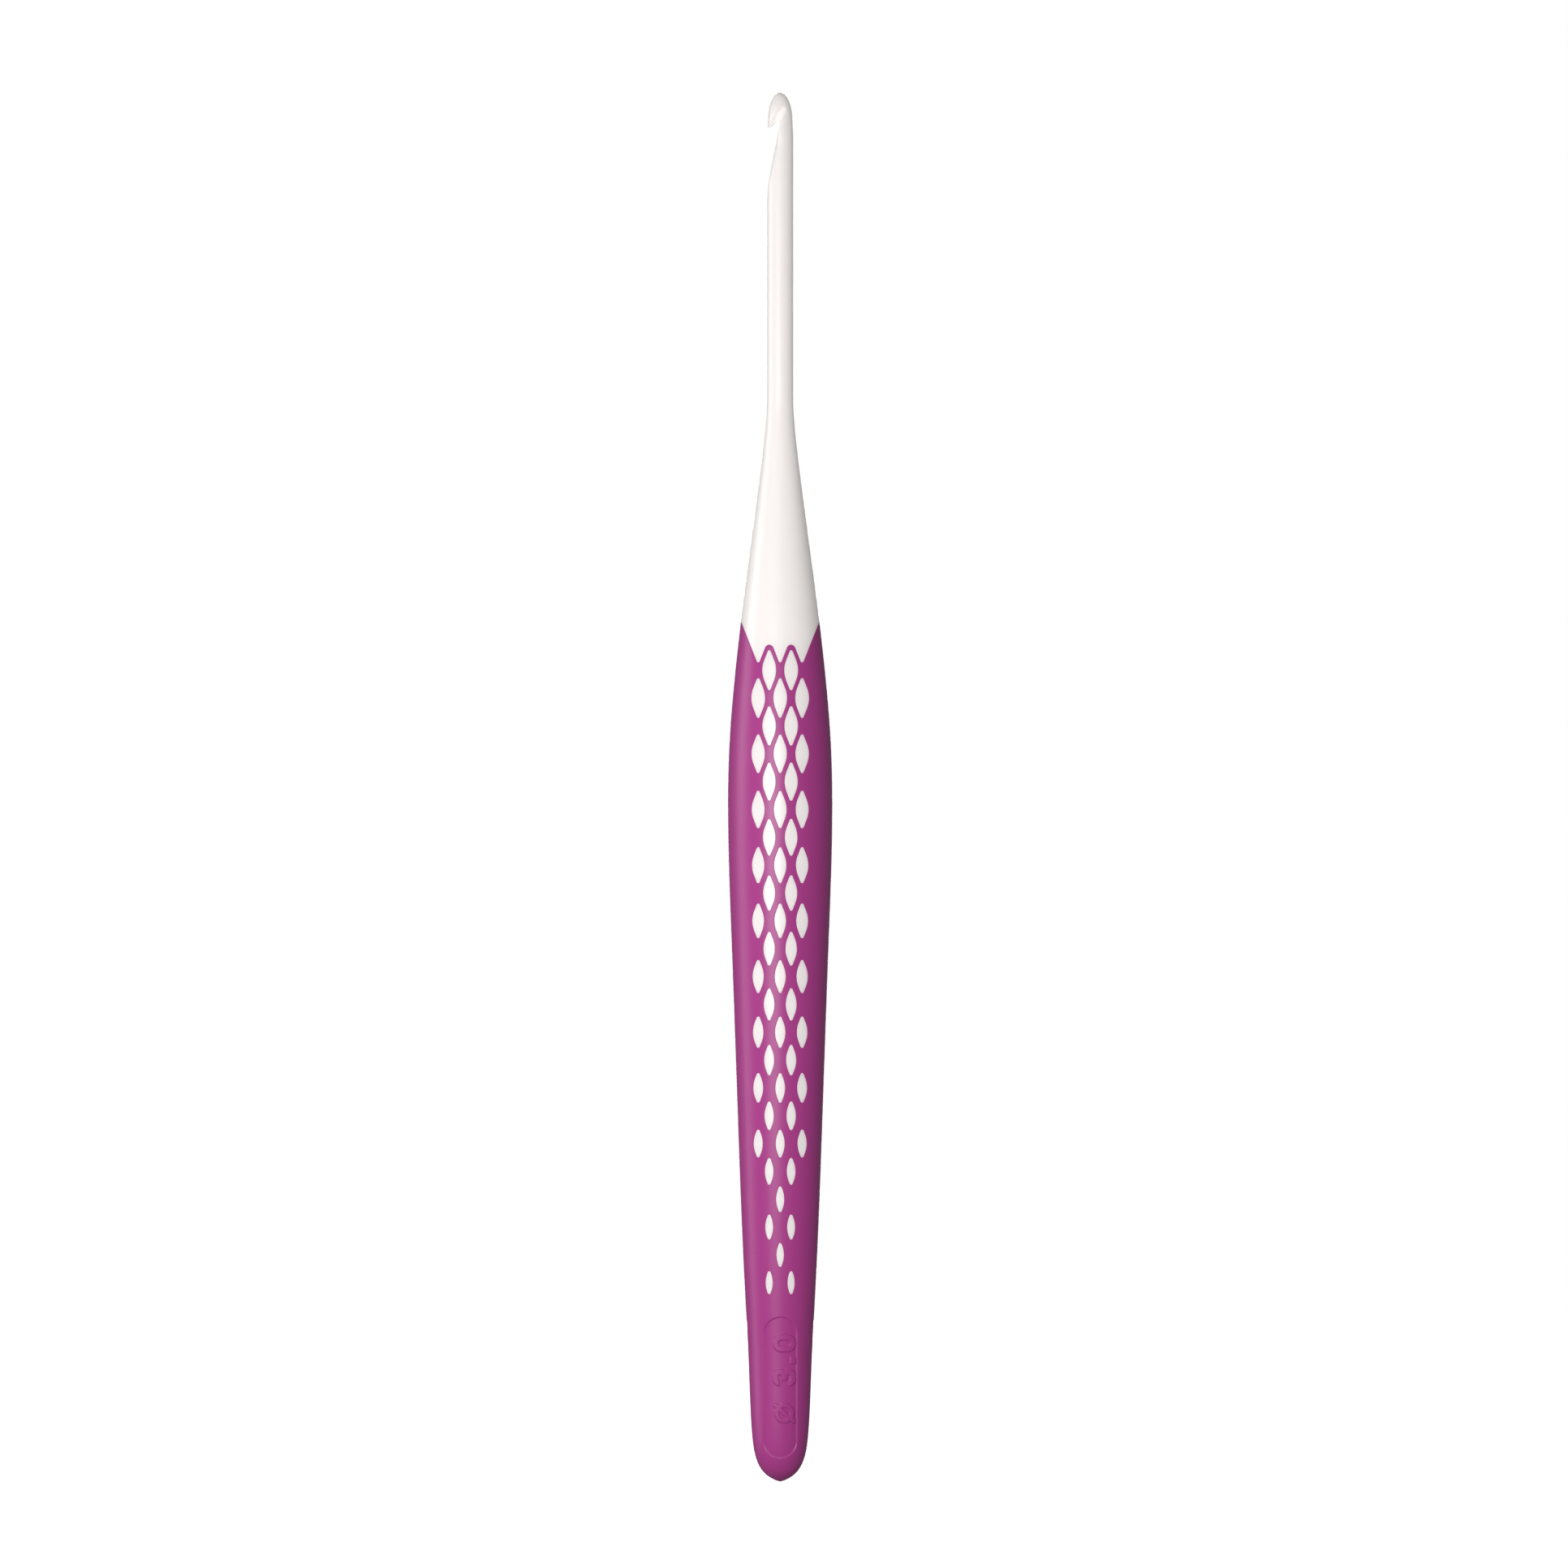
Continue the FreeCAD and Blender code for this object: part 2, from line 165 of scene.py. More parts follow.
class Shell:
    """A closed mesh gathered from grids of points, in millimetres."""

    def __init__(self, name: str) -> None:
        """Starts an empty shell.

        Args:
            name: name of the piece it will be.
        """
        self.name = name
        self.points: list[np.ndarray] = []
        self.faces: list[np.ndarray] = []
        self.count = 0

    def _keep(self, points: np.ndarray) -> int:
        """Adds points.

        Args:
            points: array whose last axis is the coordinate.

        Returns:
            The number of the first of them.
        """
        first = self.count
        self.points.append(points.reshape(-1, 3))
        self.count += points.size // 3
        return first

    def grid(self, points: np.ndarray, closed: bool = False) -> None:
        """Adds grids of points, the last three axes being row, column and coordinate.

        Args:
            points: one grid, or many along the first axis.
            closed: whether each row is a ring.
        """
        many = points if points.ndim == 4 else points[None]
        first = self._keep(many)
        rows, cols = many.shape[1:3]
        starts = first + np.arange(len(many)) * rows * cols
        faces = quads(rows, cols, closed)[None] + starts[:, None, None]
        self.faces.append(faces.reshape(-1, 4))

    def zip(
        self, lower: np.ndarray, lower_turn: np.ndarray, upper: np.ndarray, upper_turn: np.ndarray
    ) -> None:
        """Joins two rings of different counts by a band of triangles.

        Formula: both rings are walked together in order of angle, and each step
        along one ring makes a triangle with the point reached on the other.

        Args:
            lower: points of the first ring.
            lower_turn: their angles, rising from 0.
            upper: points of the second ring.
            upper_turn: their angles, rising from 0.
        """
        first, second = self._keep(lower), self._keep(upper)
        n, m = len(lower), len(upper)
        next_low = np.append(lower_turn[1:], TURN)
        next_up = np.append(upper_turn[1:], TURN)
        i, j = np.arange(n), np.arange(m)
        met = np.searchsorted(next_up, next_low, side="left") % m
        passed = np.searchsorted(next_low, next_up, side="right") % n
        low_steps = np.stack([first + i, first + (i + 1) % n, second + met], -1)
        up_steps = np.stack([second + (j + 1) % m, second + j, first + passed], -1)
        self.faces.append(np.concatenate([low_steps, up_steps]))

    def build(self) -> bpy.types.Object:
        """Makes the mesh: one skin, doubles merged, faces outwards.

        Returns:
            The new object, linked to the scene.
        """
        points = np.concatenate(self.points) * MM
        faces = [face for part in self.faces for face in part.tolist()]
        mesh = bpy.data.meshes.new(self.name)
        mesh.from_pydata(points.tolist(), [], faces)
        work = bmesh.new()
        work.from_mesh(mesh)
        bmesh.ops.remove_doubles(work, verts=work.verts, dist=MERGE)
        bmesh.ops.dissolve_degenerate(work, edges=work.edges, dist=FLAT)
        loose = [edge for edge in work.edges if not edge.link_faces]
        bmesh.ops.delete(work, geom=loose, context="EDGES")
        bmesh.ops.recalc_face_normals(work, faces=work.faces)
        open_edges = sum(1 for edge in work.edges if len(edge.link_faces) != 2)
        triangles = sum(len(face.verts) - 2 for face in work.faces)
        work.to_mesh(mesh)
        work.free()
        mesh.shade_smooth()
        obj = bpy.data.objects.new(self.name, mesh)
        bpy.context.scene.collection.objects.link(obj)
        log.info("%s: %d triangles, %d open edges", self.name, triangles, open_edges)
        return obj


# ---- The handle's round body ---------------------------------------------------
@dataclass
class Body:
    """The hook's round outline, as a radius at each height, in millimetres."""

    length: float
    cap_len: float = 5.5
    belly_z: float = 78.6
    grip_end_z: float = 99.05
    shaft_z: float = 125.1
    shank_len: float = 9.6
    nose_len: float = 3.3
    butt_r: float = 3.25
    belly_r: float = 6.015
    grip_end_r: float = 4.53
    shaft_r: float = 1.5
    head_r: float = 1.42
    head_blend: float = 1.9
    cap_point_slope: float = 0.2
    cap: tuple = ((0.04, 0.21), (0.2, 0.595), (0.4, 0.8), (0.7, 0.94))
    back: tuple = ((0.09, 0.12), (0.26, 0.34), (0.52, 0.61), (0.78, 0.855))
    front: tuple = ((0.34, 0.13), (0.68, 0.51))
    taper: tuple = ((0.38, 0.43), (0.74, 0.83))
    samples: int = 400
    outline: np.ndarray = field(init=False)

    def __post_init__(self) -> None:
        """Works out the outline once, as closely spaced points (r, z)."""
        self.outline = self._handle()

    @property
    def roof_z(self) -> float:
        """Height of the throat's roof, where the nose begins."""
        return self.length - self.nose_len

    @property
    def shank_z(self) -> float:
        """Height where the shank's cut begins."""
        return self.roof_z - self.shank_len

    def _stations(self) -> np.ndarray:
        """Works out what the handle's outline passes through.

        Returns:
            Points (r, z): the ends of its stretches and the stations between them.
        """
        ends = [
            (0.0, 0.0),
            (self.butt_r, self.cap_len),
            (self.belly_r, self.belly_z),
            (self.grip_end_r, self.grip_end_z),
            (self.shaft_r, self.shaft_z),
        ]
        points = [ends[0]]
        shapes = (self.cap, self.back, self.front, self.taper)
        for (r0, z0), (r1, z1), shape in zip(ends, ends[1:], shapes):
            points += [(r0 + (r1 - r0) * rise, z0 + (z1 - z0) * along) for along, rise in shape]
            points.append((r1, z1))
        return np.array(points)

    def _handle(self) -> np.ndarray:
        """The handle's outline: a smooth cubic through the stations.

        Formula: a cubic in the chord length between each two stations, with slopes
        that make the bend continuous, level with the cap's slope at the butt end
        and upright at the shaft.

        Returns:
            Closely spaced points (r, z).
        """
        points = self._stations()
        step = np.linalg.norm(np.diff(points, axis=0), axis=1)
        count = len(points)
        system = np.eye(count)
        slopes = np.zeros((count, 2))
        slopes[0] = np.array([1, self.cap_point_slope]) / math.hypot(1, self.cap_point_slope)
        slopes[-1] = (0, 1)
        rate = np.diff(points, axis=0) / step[:, None]
        inner = np.arange(1, count - 1)
        system[inner, inner - 1] = step[1:]
        system[inner, inner] = 2 * (step[:-1] + step[1:])
        system[inner, inner + 1] = step[:-1]
        slopes[1:-1] = 3 * (step[1:, None] * rate[:-1] + step[:-1, None] * rate[1:])
        slopes = np.linalg.solve(system, slopes)
        t = np.linspace(0, 1, self.samples, endpoint=False)[None, :, None]
        h = step[:, None, None]
        curve = (
            (2 * t**3 - 3 * t**2 + 1) * points[:-1, None]
            + (t**3 - 2 * t**2 + t) * h * slopes[:-1, None]
            + (3 * t**2 - 2 * t**3) * points[1:, None]
            + (t**3 - t**2) * h * slopes[1:, None]
        )
        return np.concatenate([curve.reshape(-1, 2), points[-1:]])

    def radius(self, z: np.ndarray) -> np.ndarray:
        """Radius of the handle and the shaft at each height above the rounded butt end."""
        return np.interp(z, self.outline[:, 1], self.outline[:, 0])

    def cap_rows(self, z: np.ndarray, count: int, inset: float) -> np.ndarray:
        """Rows (r, z) of the butt end, from its pole up to a given height and on.

        Args:
            z: heights of the rows above the rounded end.
            count: rows on the rounded end below them.
            inset: depth of the rows under the outer skin.

        Returns:
            Points (r, z), the first on the axis.
        """
        below = self.outline[self.outline[:, 1] < z[0]]
        run = np.append(0, np.cumsum(np.linalg.norm(np.diff(below, axis=0), axis=1)))
        at = np.linspace(0, run[-1], count, endpoint=False)
        cap = np.stack([np.interp(at, run, below[:, k]) for k in (0, 1)], -1)
        rows = np.concatenate([cap, np.stack([self.radius(z), z], -1)])
        along = np.gradient(rows, axis=0)
        along /= np.linalg.norm(along, axis=1)[:, None]
        moved = rows + inset * np.stack([-along[:, 1], along[:, 0]], -1)
        moved[:, 0] = np.maximum(moved[:, 0], 0)
        moved[0] = (0, inset * math.hypot(1, self.cap_point_slope))
        return moved

    def place(self, alpha: np.ndarray, z: np.ndarray, depth: np.ndarray | float) -> np.ndarray:
        """Points under the skin, by angle from the front (-Y, then +X), height and depth."""
        r = self.radius(z) - depth
        return np.stack(np.broadcast_arrays(r * np.sin(alpha), -r * np.cos(alpha), z), -1)

    def angle(self, flat: np.ndarray) -> np.ndarray:
        """Angle from the front of points (x, z): the arcsine of x over the radius."""
        return np.arcsin(np.clip(flat[..., 0] / self.radius(flat[..., 1]), -1, 1))

    def lift(self, flat: np.ndarray, depth: np.ndarray | float, facing: Facing) -> np.ndarray:
        """Points of a flat drawing (x, z) carried onto a face of the round body.

        Args:
            flat: points (x, z).
            depth: depth under the outer skin.
            facing: the face.

        Returns:
            Points (x, y, z).
        """
        found = self.place(self.angle(flat), flat[..., 1], depth)
        found[..., 1] *= -facing.value
        return found


# ---- Windows, ribs and the zigzag edge --------------------------------------------
@dataclass
class WindowPattern:
    """The lattice of diamond windows on each face, and the sleeve's zigzag top edge.

    Each window sits in a diamond cell, and the cells tile the face. A cell is
    drawn as rings of points, from its window's outline out to its own sides.
    """

    body: Body
    column_step: float = 1.272
    row_pitch: float = 3.203
    rib_top: float = 0.435
    rib_end: float = 1.157
    rib_power: float = 1.3
    tip_r: float = 0.18
    side_r: float = 3.1
    side_share: float = 0.95
    peak_r: float = 0.5
    rows: int = 23
    window_free_rows: int = 5
    arc_steps: tuple = (4, 3, 3)        # side arc, straight side, tip arc
    edge_steps: tuple = (2, 2, 3, 3)    # upright, valley arc, straight, peak arc
    outer_steps: int = 12               # straight line up to the silhouette
    centre_steps: int = 4               # from a windowless cell's sides to its centre
    search_above: float = 2.0           # over the sleeve's top points
    search_steps: int = 4000            # heights tried for the silhouette
    flank_steps: int = 20               # round the side, from face to face
    side: float = math.radians(SIDE_DEG)

    def __post_init__(self) -> None:
        """Lays out the cells: columns, rows, and each window's half height."""
        places = []
        for row in range(1, self.rows + 1):
            free = row > self.rows - self.window_free_rows
            columns = (-1, 1) if row % 2 else (-2, 0, 2)
            places += [(column, row, not (free and abs(column) == 2)) for column in columns]
        column, row, self.open = (np.array(part) for part in zip(*places))
        shoulder_half = float(self.half_height(np.array(self.rib_top)))
        reach = (self.body.grip_end_r - 2 * self.column_step) / math.tan(self.side)
        self.valley_z = self.body.grip_end_z - reach
        self.first_z = self.valley_z + shoulder_half - self.row_pitch
        self.steps = sum(self.arc_steps)
        self.centre = np.stack([column * self.column_step, self.row_z(row)], -1)
        share = (row - 1) / (self.rows - 1)
        rib = self.rib_top + (self.rib_end - self.rib_top) * share**self.rib_power
        self.half = self.half_height(rib)
        self.top = row == 1
        self.valley_mid = self.valley_z + self.tip_r / math.sin(self.side)
        peak_z = self.valley_z + self.column_step / math.tan(self.side)
        self.peak_mid = peak_z - self.peak_r / math.sin(self.side)

    def row_z(self, row: np.ndarray | int) -> np.ndarray | float:
        """Height of a row of windows; row 1 is the top one."""
        return self.first_z - (row - 1) * self.row_pitch

    def half_height(self, rib: np.ndarray) -> np.ndarray:
        """Half height of a sharp diamond that leaves this rib to its neighbours."""
        across = self.column_step * math.cos(self.side) + self.row_pitch * math.sin(self.side)
        return (across - rib) / (2 * math.sin(self.side))

    def _all_round(self, upper: np.ndarray, lower: np.ndarray) -> np.ndarray:
        """Rings from their quarters, which run from the side corner to the tip.

        Args:
            upper: quarter of the upper half, (cell, point, 2), about the centre.
            lower: quarter of the lower half, with its heights also positive.

        Returns:
            Rings, (cell, four times the steps, 2), in place.
        """
        back = upper[:, :0:-1] * (-1, 1)
        under = lower[:, :-1] * (-1, -1)
        last = lower[:, :0:-1] * (1, -1)
        return np.concatenate([upper[:, :-1], back, under, last], 1) + self.centre[:, None]

    def outline(self, grow: float) -> np.ndarray:
        """Outlines of the windows.

        Formula of a quarter: an arc about a point on the short diagonal, a straight
        side, and an arc about a point on the long diagonal.

        Args:
            grow: distance the outline is moved outwards.

        Returns:
            Rings (cell, point, 2).
        """
        side, half = self.side, self.half[:, None]
        straight = half / math.cos(side) - self.tip_r / math.tan(side)
        side_r = np.minimum(self.side_r, self.side_share * straight / math.tan(side))
        side_mid = half * math.tan(side) - side_r / math.cos(side)
        tip_mid = half - self.tip_r / math.sin(side)
        n_side, n_straight, n_tip = self.arc_steps
        low = np.linspace(0, side, n_side + 1)[None]
        high = np.linspace(side, TURN / 4, n_tip + 1)[None]
        wide_r, tip_r = side_r + grow, self.tip_r + grow
        first = np.stack([side_mid + wide_r * np.cos(low), wide_r * np.sin(low)], -1)
        last_x = np.broadcast_to(tip_r * np.cos(high), (len(half), n_tip + 1))
        last = np.stack([last_x, tip_mid + tip_r * np.sin(high)], -1)
        share = np.linspace(0, 1, n_straight + 1)[1:-1][None, :, None]
        middle = first[:, -1:] * (1 - share) + last[:, :1] * share
        quarter = np.concatenate([first, middle, last], 1)
        return self._all_round(quarter, quarter)

    def _peak_quarter(self, inset: float) -> np.ndarray:
        """Half of a peak of the zigzag edge, about its cell's centre, from the side corner up.

        Args:
            inset: distance the edge is moved into the sleeve.

        Returns:
            Points (x, z), from beside the valley to the peak's top.
        """
        upright, valley, straight, peak = self.edge_steps
        a, side = self.column_step, self.side
        valley_r, peak_r = self.tip_r + inset, self.peak_r - inset
        valley_z, peak_z = self.valley_mid - self.first_z, self.peak_mid - self.first_z
        floor = valley_z - valley_r
        rise = np.stack([np.full(upright, a), np.linspace(0, floor, upright, endpoint=False)], -1)
        turn = np.linspace(-TURN / 4, side - TURN / 2, valley + 1)
        low = np.stack([a + valley_r * np.cos(turn), valley_z + valley_r * np.sin(turn)], -1)
        turn = np.linspace(side, TURN / 4, peak + 1)
        high = np.stack([peak_r * np.cos(turn), peak_z + peak_r * np.sin(turn)], -1)
        share = np.linspace(0, 1, straight + 1)[1:-1, None]
        return np.concatenate([rise, low, low[-1] * (1 - share) + high[0] * share, high])

    def sides(self, inset: float) -> np.ndarray:
        """Outer sides of the cells; those of the top row follow the zigzag edge.

        Args:
            inset: distance the zigzag edge is moved into the sleeve.

        Returns:
            Rings (cell, point, 2).
        """
        share = np.linspace(0, 1, self.steps + 1)
        plain = np.stack([self.column_step * (1 - share), self.row_pitch * share], -1)
        lower = np.broadcast_to(plain, (len(self.half),) + plain.shape)
        upper = np.where(self.top[:, None, None], self._peak_quarter(inset), lower)
        return self._all_round(upper, lower)

    def outer_line(self, inset: float) -> np.ndarray:
        """The zigzag edge from its outer valley to the silhouette, on the right.

        Args:
            inset: distance the edge is moved into the sleeve.

        Returns:
            Points (x, z), from the valley's lowest point up.
        """
        x0 = 2 * self.column_step
        z = np.linspace(self.valley_z, self.body.grip_end_z + self.search_above, self.search_steps)
        x = x0 + (z - self.valley_z) * math.tan(self.side) + inset / math.cos(self.side)
        end_z = np.interp(0, x - self.body.radius(z), z)
        end = np.array([self.body.radius(end_z), end_z])
        valley_r = self.tip_r + inset
        turn = np.linspace(-TURN / 4, -self.side, self.edge_steps[1] + 1)
        arc = np.stack([x0 + valley_r * np.cos(turn), self.valley_mid + valley_r * np.sin(turn)], -1)
        share = np.sin(np.linspace(0, TURN / 4, self.outer_steps + 1))[1:, None]
        return np.concatenate([arc, arc[-1] * (1 - share) + end * share])

    def zigzag(self, inset: float) -> tuple[np.ndarray, np.ndarray]:
        """The sleeve's whole top edge as a closed loop.

        Args:
            inset: distance the edge is moved into the sleeve.

        Returns:
            Angles and heights.
        """
        half = self._peak_quarter(inset)[self.edge_steps[0]:]
        middle = np.array([self.column_step, self.first_z])
        left = half * (-1, 1) + middle
        right = half[-2:0:-1] + middle
        flat = np.concatenate([left, right, self.outer_line(inset)])
        alpha = self.body.angle(flat)
        alpha[-1] = TURN / 4
        return mirrored_loop(alpha, flat[:, 1])

    def flank_edge(self, inset: float) -> np.ndarray:
        """Edge between the cells and the plain flank, on the right, from the bottom up.

        Args:
            inset: distance the zigzag edge is moved into the sleeve.

        Returns:
            Points (x, z).
        """
        last = self.rows - 1
        corner = np.arange(last, 0, -1)
        x = self.column_step * np.where(corner % 2, 2, 3)
        at = np.arange((last - 1) * self.steps + 1) / self.steps
        x = np.interp(at, np.arange(last), x)
        z = np.interp(at, np.arange(last), self.row_z(corner))
        upright = self._peak_quarter(inset)[1:self.edge_steps[0]]
        upright = upright + (self.column_step, self.first_z)
        return np.concatenate([np.stack([x, z], -1), upright, self.outer_line(inset)])

    def flank(self, inset: float, depth: float, hand: Side) -> np.ndarray:
        """The plain side of the grip: each row runs round from face to face.

        Args:
            inset: distance the zigzag edge is moved into the sleeve.
            depth: depth under the outer skin.
            hand: which side.

        Returns:
            Grid of points.
        """
        edge = self.flank_edge(inset)
        start = self.body.angle(edge)
        start[-1] = TURN / 4
        share = np.linspace(0, 1, self.flank_steps + 1)[None]
        alpha = start[:, None] + (TURN / 2 - 2 * start[:, None]) * share
        return self.body.place(alpha * hand.value, edge[:, 1:], depth)

    def lower_loop(self) -> tuple[np.ndarray, np.ndarray]:
        """Follows the lower edge of the last cells and flanks, all the way round.

        Returns:
            Angles and heights.
        """
        at = np.linspace(0, 3, 3 * self.steps + 1)
        x = at * self.column_step
        corner = self.rows + np.array([0, 1, 0, -1])
        z = np.interp(at, np.arange(4), self.row_z(corner))
        alpha = self.body.angle(np.stack([x, z], -1))
        share = np.linspace(0, 1, self.flank_steps // 2 + 1)[1:]
        flank = alpha[-1] + (TURN / 4 - alpha[-1]) * share
        level = np.full(len(share), z[-1])
        return mirrored_loop(np.concatenate([alpha, flank]), np.concatenate([z, level]))


# ---- Finishes ----------------------------------------------------------------------
@dataclass(frozen=True)
class Finish:
    """A moulded plastic's surface: colour, gloss, and the grain of its mould.

    Its glow is painted light: an even emission in the finish's own colour that brightens the whole piece,
    its shaded side too, standing in for light that scatters inside a pale polymer.
    """

    name: str
    colour: tuple
    roughness: float
    grain_mm: float
    grain_depth_mm: float
    mottle: float
    subsurface: float = 0.0
    subsurface_mm: float = 1.0
    # painted light: strength of an even glow in the finish's own colour
    painted_glow: float = 0.0
    specular: float = 0.5
    ior: float = 1.5
    subsurface_tint: tuple = (1.0, 0.95, 0.88)
    mottle_mm: float = 4.0
    mottle_detail: float = 3.0
    grain_detail: float = 2.0

    def material(self) -> bpy.types.Material:
        """Builds the material: fine grain in the bump, a faint mottle in the colour.

        Returns:
            The material, its patterns read from Object coordinates.
        """
        material = bpy.data.materials.new(self.name)
        material.use_nodes = True
        tree = material.node_tree
        shader = tree.nodes["Principled BSDF"]
        for socket, value in {
            "Roughness": self.roughness,
            "IOR": self.ior,
            "Subsurface Weight": self.subsurface,
            "Subsurface Radius": self.subsurface_tint,
            "Subsurface Scale": self.subsurface_mm * MM,
            "Specular IOR Level": self.specular,
            # painted light: the glow is emitted in the finish's own colour and lifts its shade evenly
            "Emission Color": self.colour + (1.0,),
            "Emission Strength": self.painted_glow,
        }.items():
            shader.inputs[socket].default_value = value
        place = tree.nodes.new("ShaderNodeTexCoord")
        mottle = self._noise(tree, place, self.mottle_mm, self.mottle_detail)
        ramp = tree.nodes.new("ShaderNodeValToRGB")
        for element, scale in zip(ramp.color_ramp.elements, (1 - self.mottle, 1 + self.mottle)):
            element.color = tuple(min(1.0, c * scale) for c in self.colour) + (1.0,)
        tree.links.new(mottle.outputs["Fac"], ramp.inputs["Fac"])
        tree.links.new(ramp.outputs["Color"], shader.inputs["Base Color"])
        grain = self._noise(tree, place, self.grain_mm, self.grain_detail)
        bump = tree.nodes.new("ShaderNodeBump")
        bump.inputs["Strength"].default_value = 1.0
        bump.inputs["Distance"].default_value = self.grain_depth_mm * MM
        tree.links.new(grain.outputs["Fac"], bump.inputs["Height"])
        tree.links.new(bump.outputs["Normal"], shader.inputs["Normal"])
        return material

    def _noise(
        self, tree: bpy.types.NodeTree, place: bpy.types.Node, size_mm: float, detail: float
    ) -> bpy.types.Node:
        """Adds a noise pattern on Object coordinates.

        Args:
            tree: the material's nodes.
            place: the texture coordinate node.
            size_mm: size of the pattern's largest bumps.
            detail: finer layers over them.

        Returns:
            The noise node.
        """
        noise = tree.nodes.new("ShaderNodeTexNoise")
        noise.inputs["Scale"].default_value = 1 / (size_mm * MM)
        noise.inputs["Detail"].default_value = detail
        tree.links.new(place.outputs["Object"], noise.inputs["Vector"])
        return noise


CORE_POLYMER = Finish(
    name="core_polymer",
    colour=(0.92, 0.875, 0.85),
    roughness=0.3,
    grain_mm=0.35,
    grain_depth_mm=0.0015,
    mottle=0.006,
    subsurface=0.4,
    subsurface_mm=1.4,
    # painted light: an even glow that brightens the white core, its shaded side included
    painted_glow=0.2,
)
GRIP_ELASTOMER = Finish(
    name="grip_elastomer",
    colour=(0.46, 0.047, 0.285),
    roughness=0.38,
    grain_mm=0.12,
    grain_depth_mm=0.004,
    mottle=0.02,
    specular=0.42,
)


# ---- The two pieces -----------------------------------------------------------------
@dataclass
class Seam:
    """How the two mouldings meet: the sleeve's wall, and the rounded edges along the seam."""

    wall: float = 1.1
    edge_r: float = 0.04
    support: float = 0.03
    gap: float = 0.008
    edge_points: int = 4

    def rounded(self) -> list[tuple[float, float]]:
        """The rounded edge, as shares of its radius: distance from the seam and depth."""
        turn = np.linspace(0, TURN / 4, self.edge_points)
        return [(1 - math.sin(t), 1 - math.cos(t)) for t in turn]


def butt_surface(
    shell: Shell,
    pattern: WindowPattern,
    depth: float,
    rows: np.ndarray,
    cap_rows: int,
    turn: np.ndarray,
    sunk: np.ndarray | float = 0.0,
) -> None:
    """Adds one skin of the butt end, from the lattice's lower edge down to the pole.

    Formula: a band of the lower loop brought down to a level ring, a zipped band
    to a ring of other angles, and rows of the outline turned about the axis.

    Args:
        shell: where to add it.
        pattern: the lattice above it.
        depth: depth of the skin under the outer one.
        rows: heights of the rows above the rounded end.
        cap_rows: rows on the rounded end.
        turn: angles of the columns, rising from 0.
        sunk: extra depth of each point, for rows above the rounded end.
    """
    alpha, z = pattern.lower_loop()
    level = rows[-1] + (pattern.row_z(pattern.rows + 1) - rows[-1]) / 2
    share = np.linspace(0, 1, BAND_ROWS)[:, None]
    band = pattern.body.place(alpha, z * (1 - share) + level * share, depth)
    shell.grid(band, closed=True)
    line = pattern.body.cap_rows(rows, cap_rows, depth)
    extra = np.zeros((cap_rows + len(rows), len(turn)))
    extra[cap_rows:] += sunk
    r = line[:, :1] - extra
    grid = np.stack([r * np.sin(turn), -r * np.cos(turn), np.broadcast_to(line[:, 1:], r.shape)], -1)
    shell.grid(grid, closed=True)
    shell.zip(grid[-1], turn, band[-1], alpha)


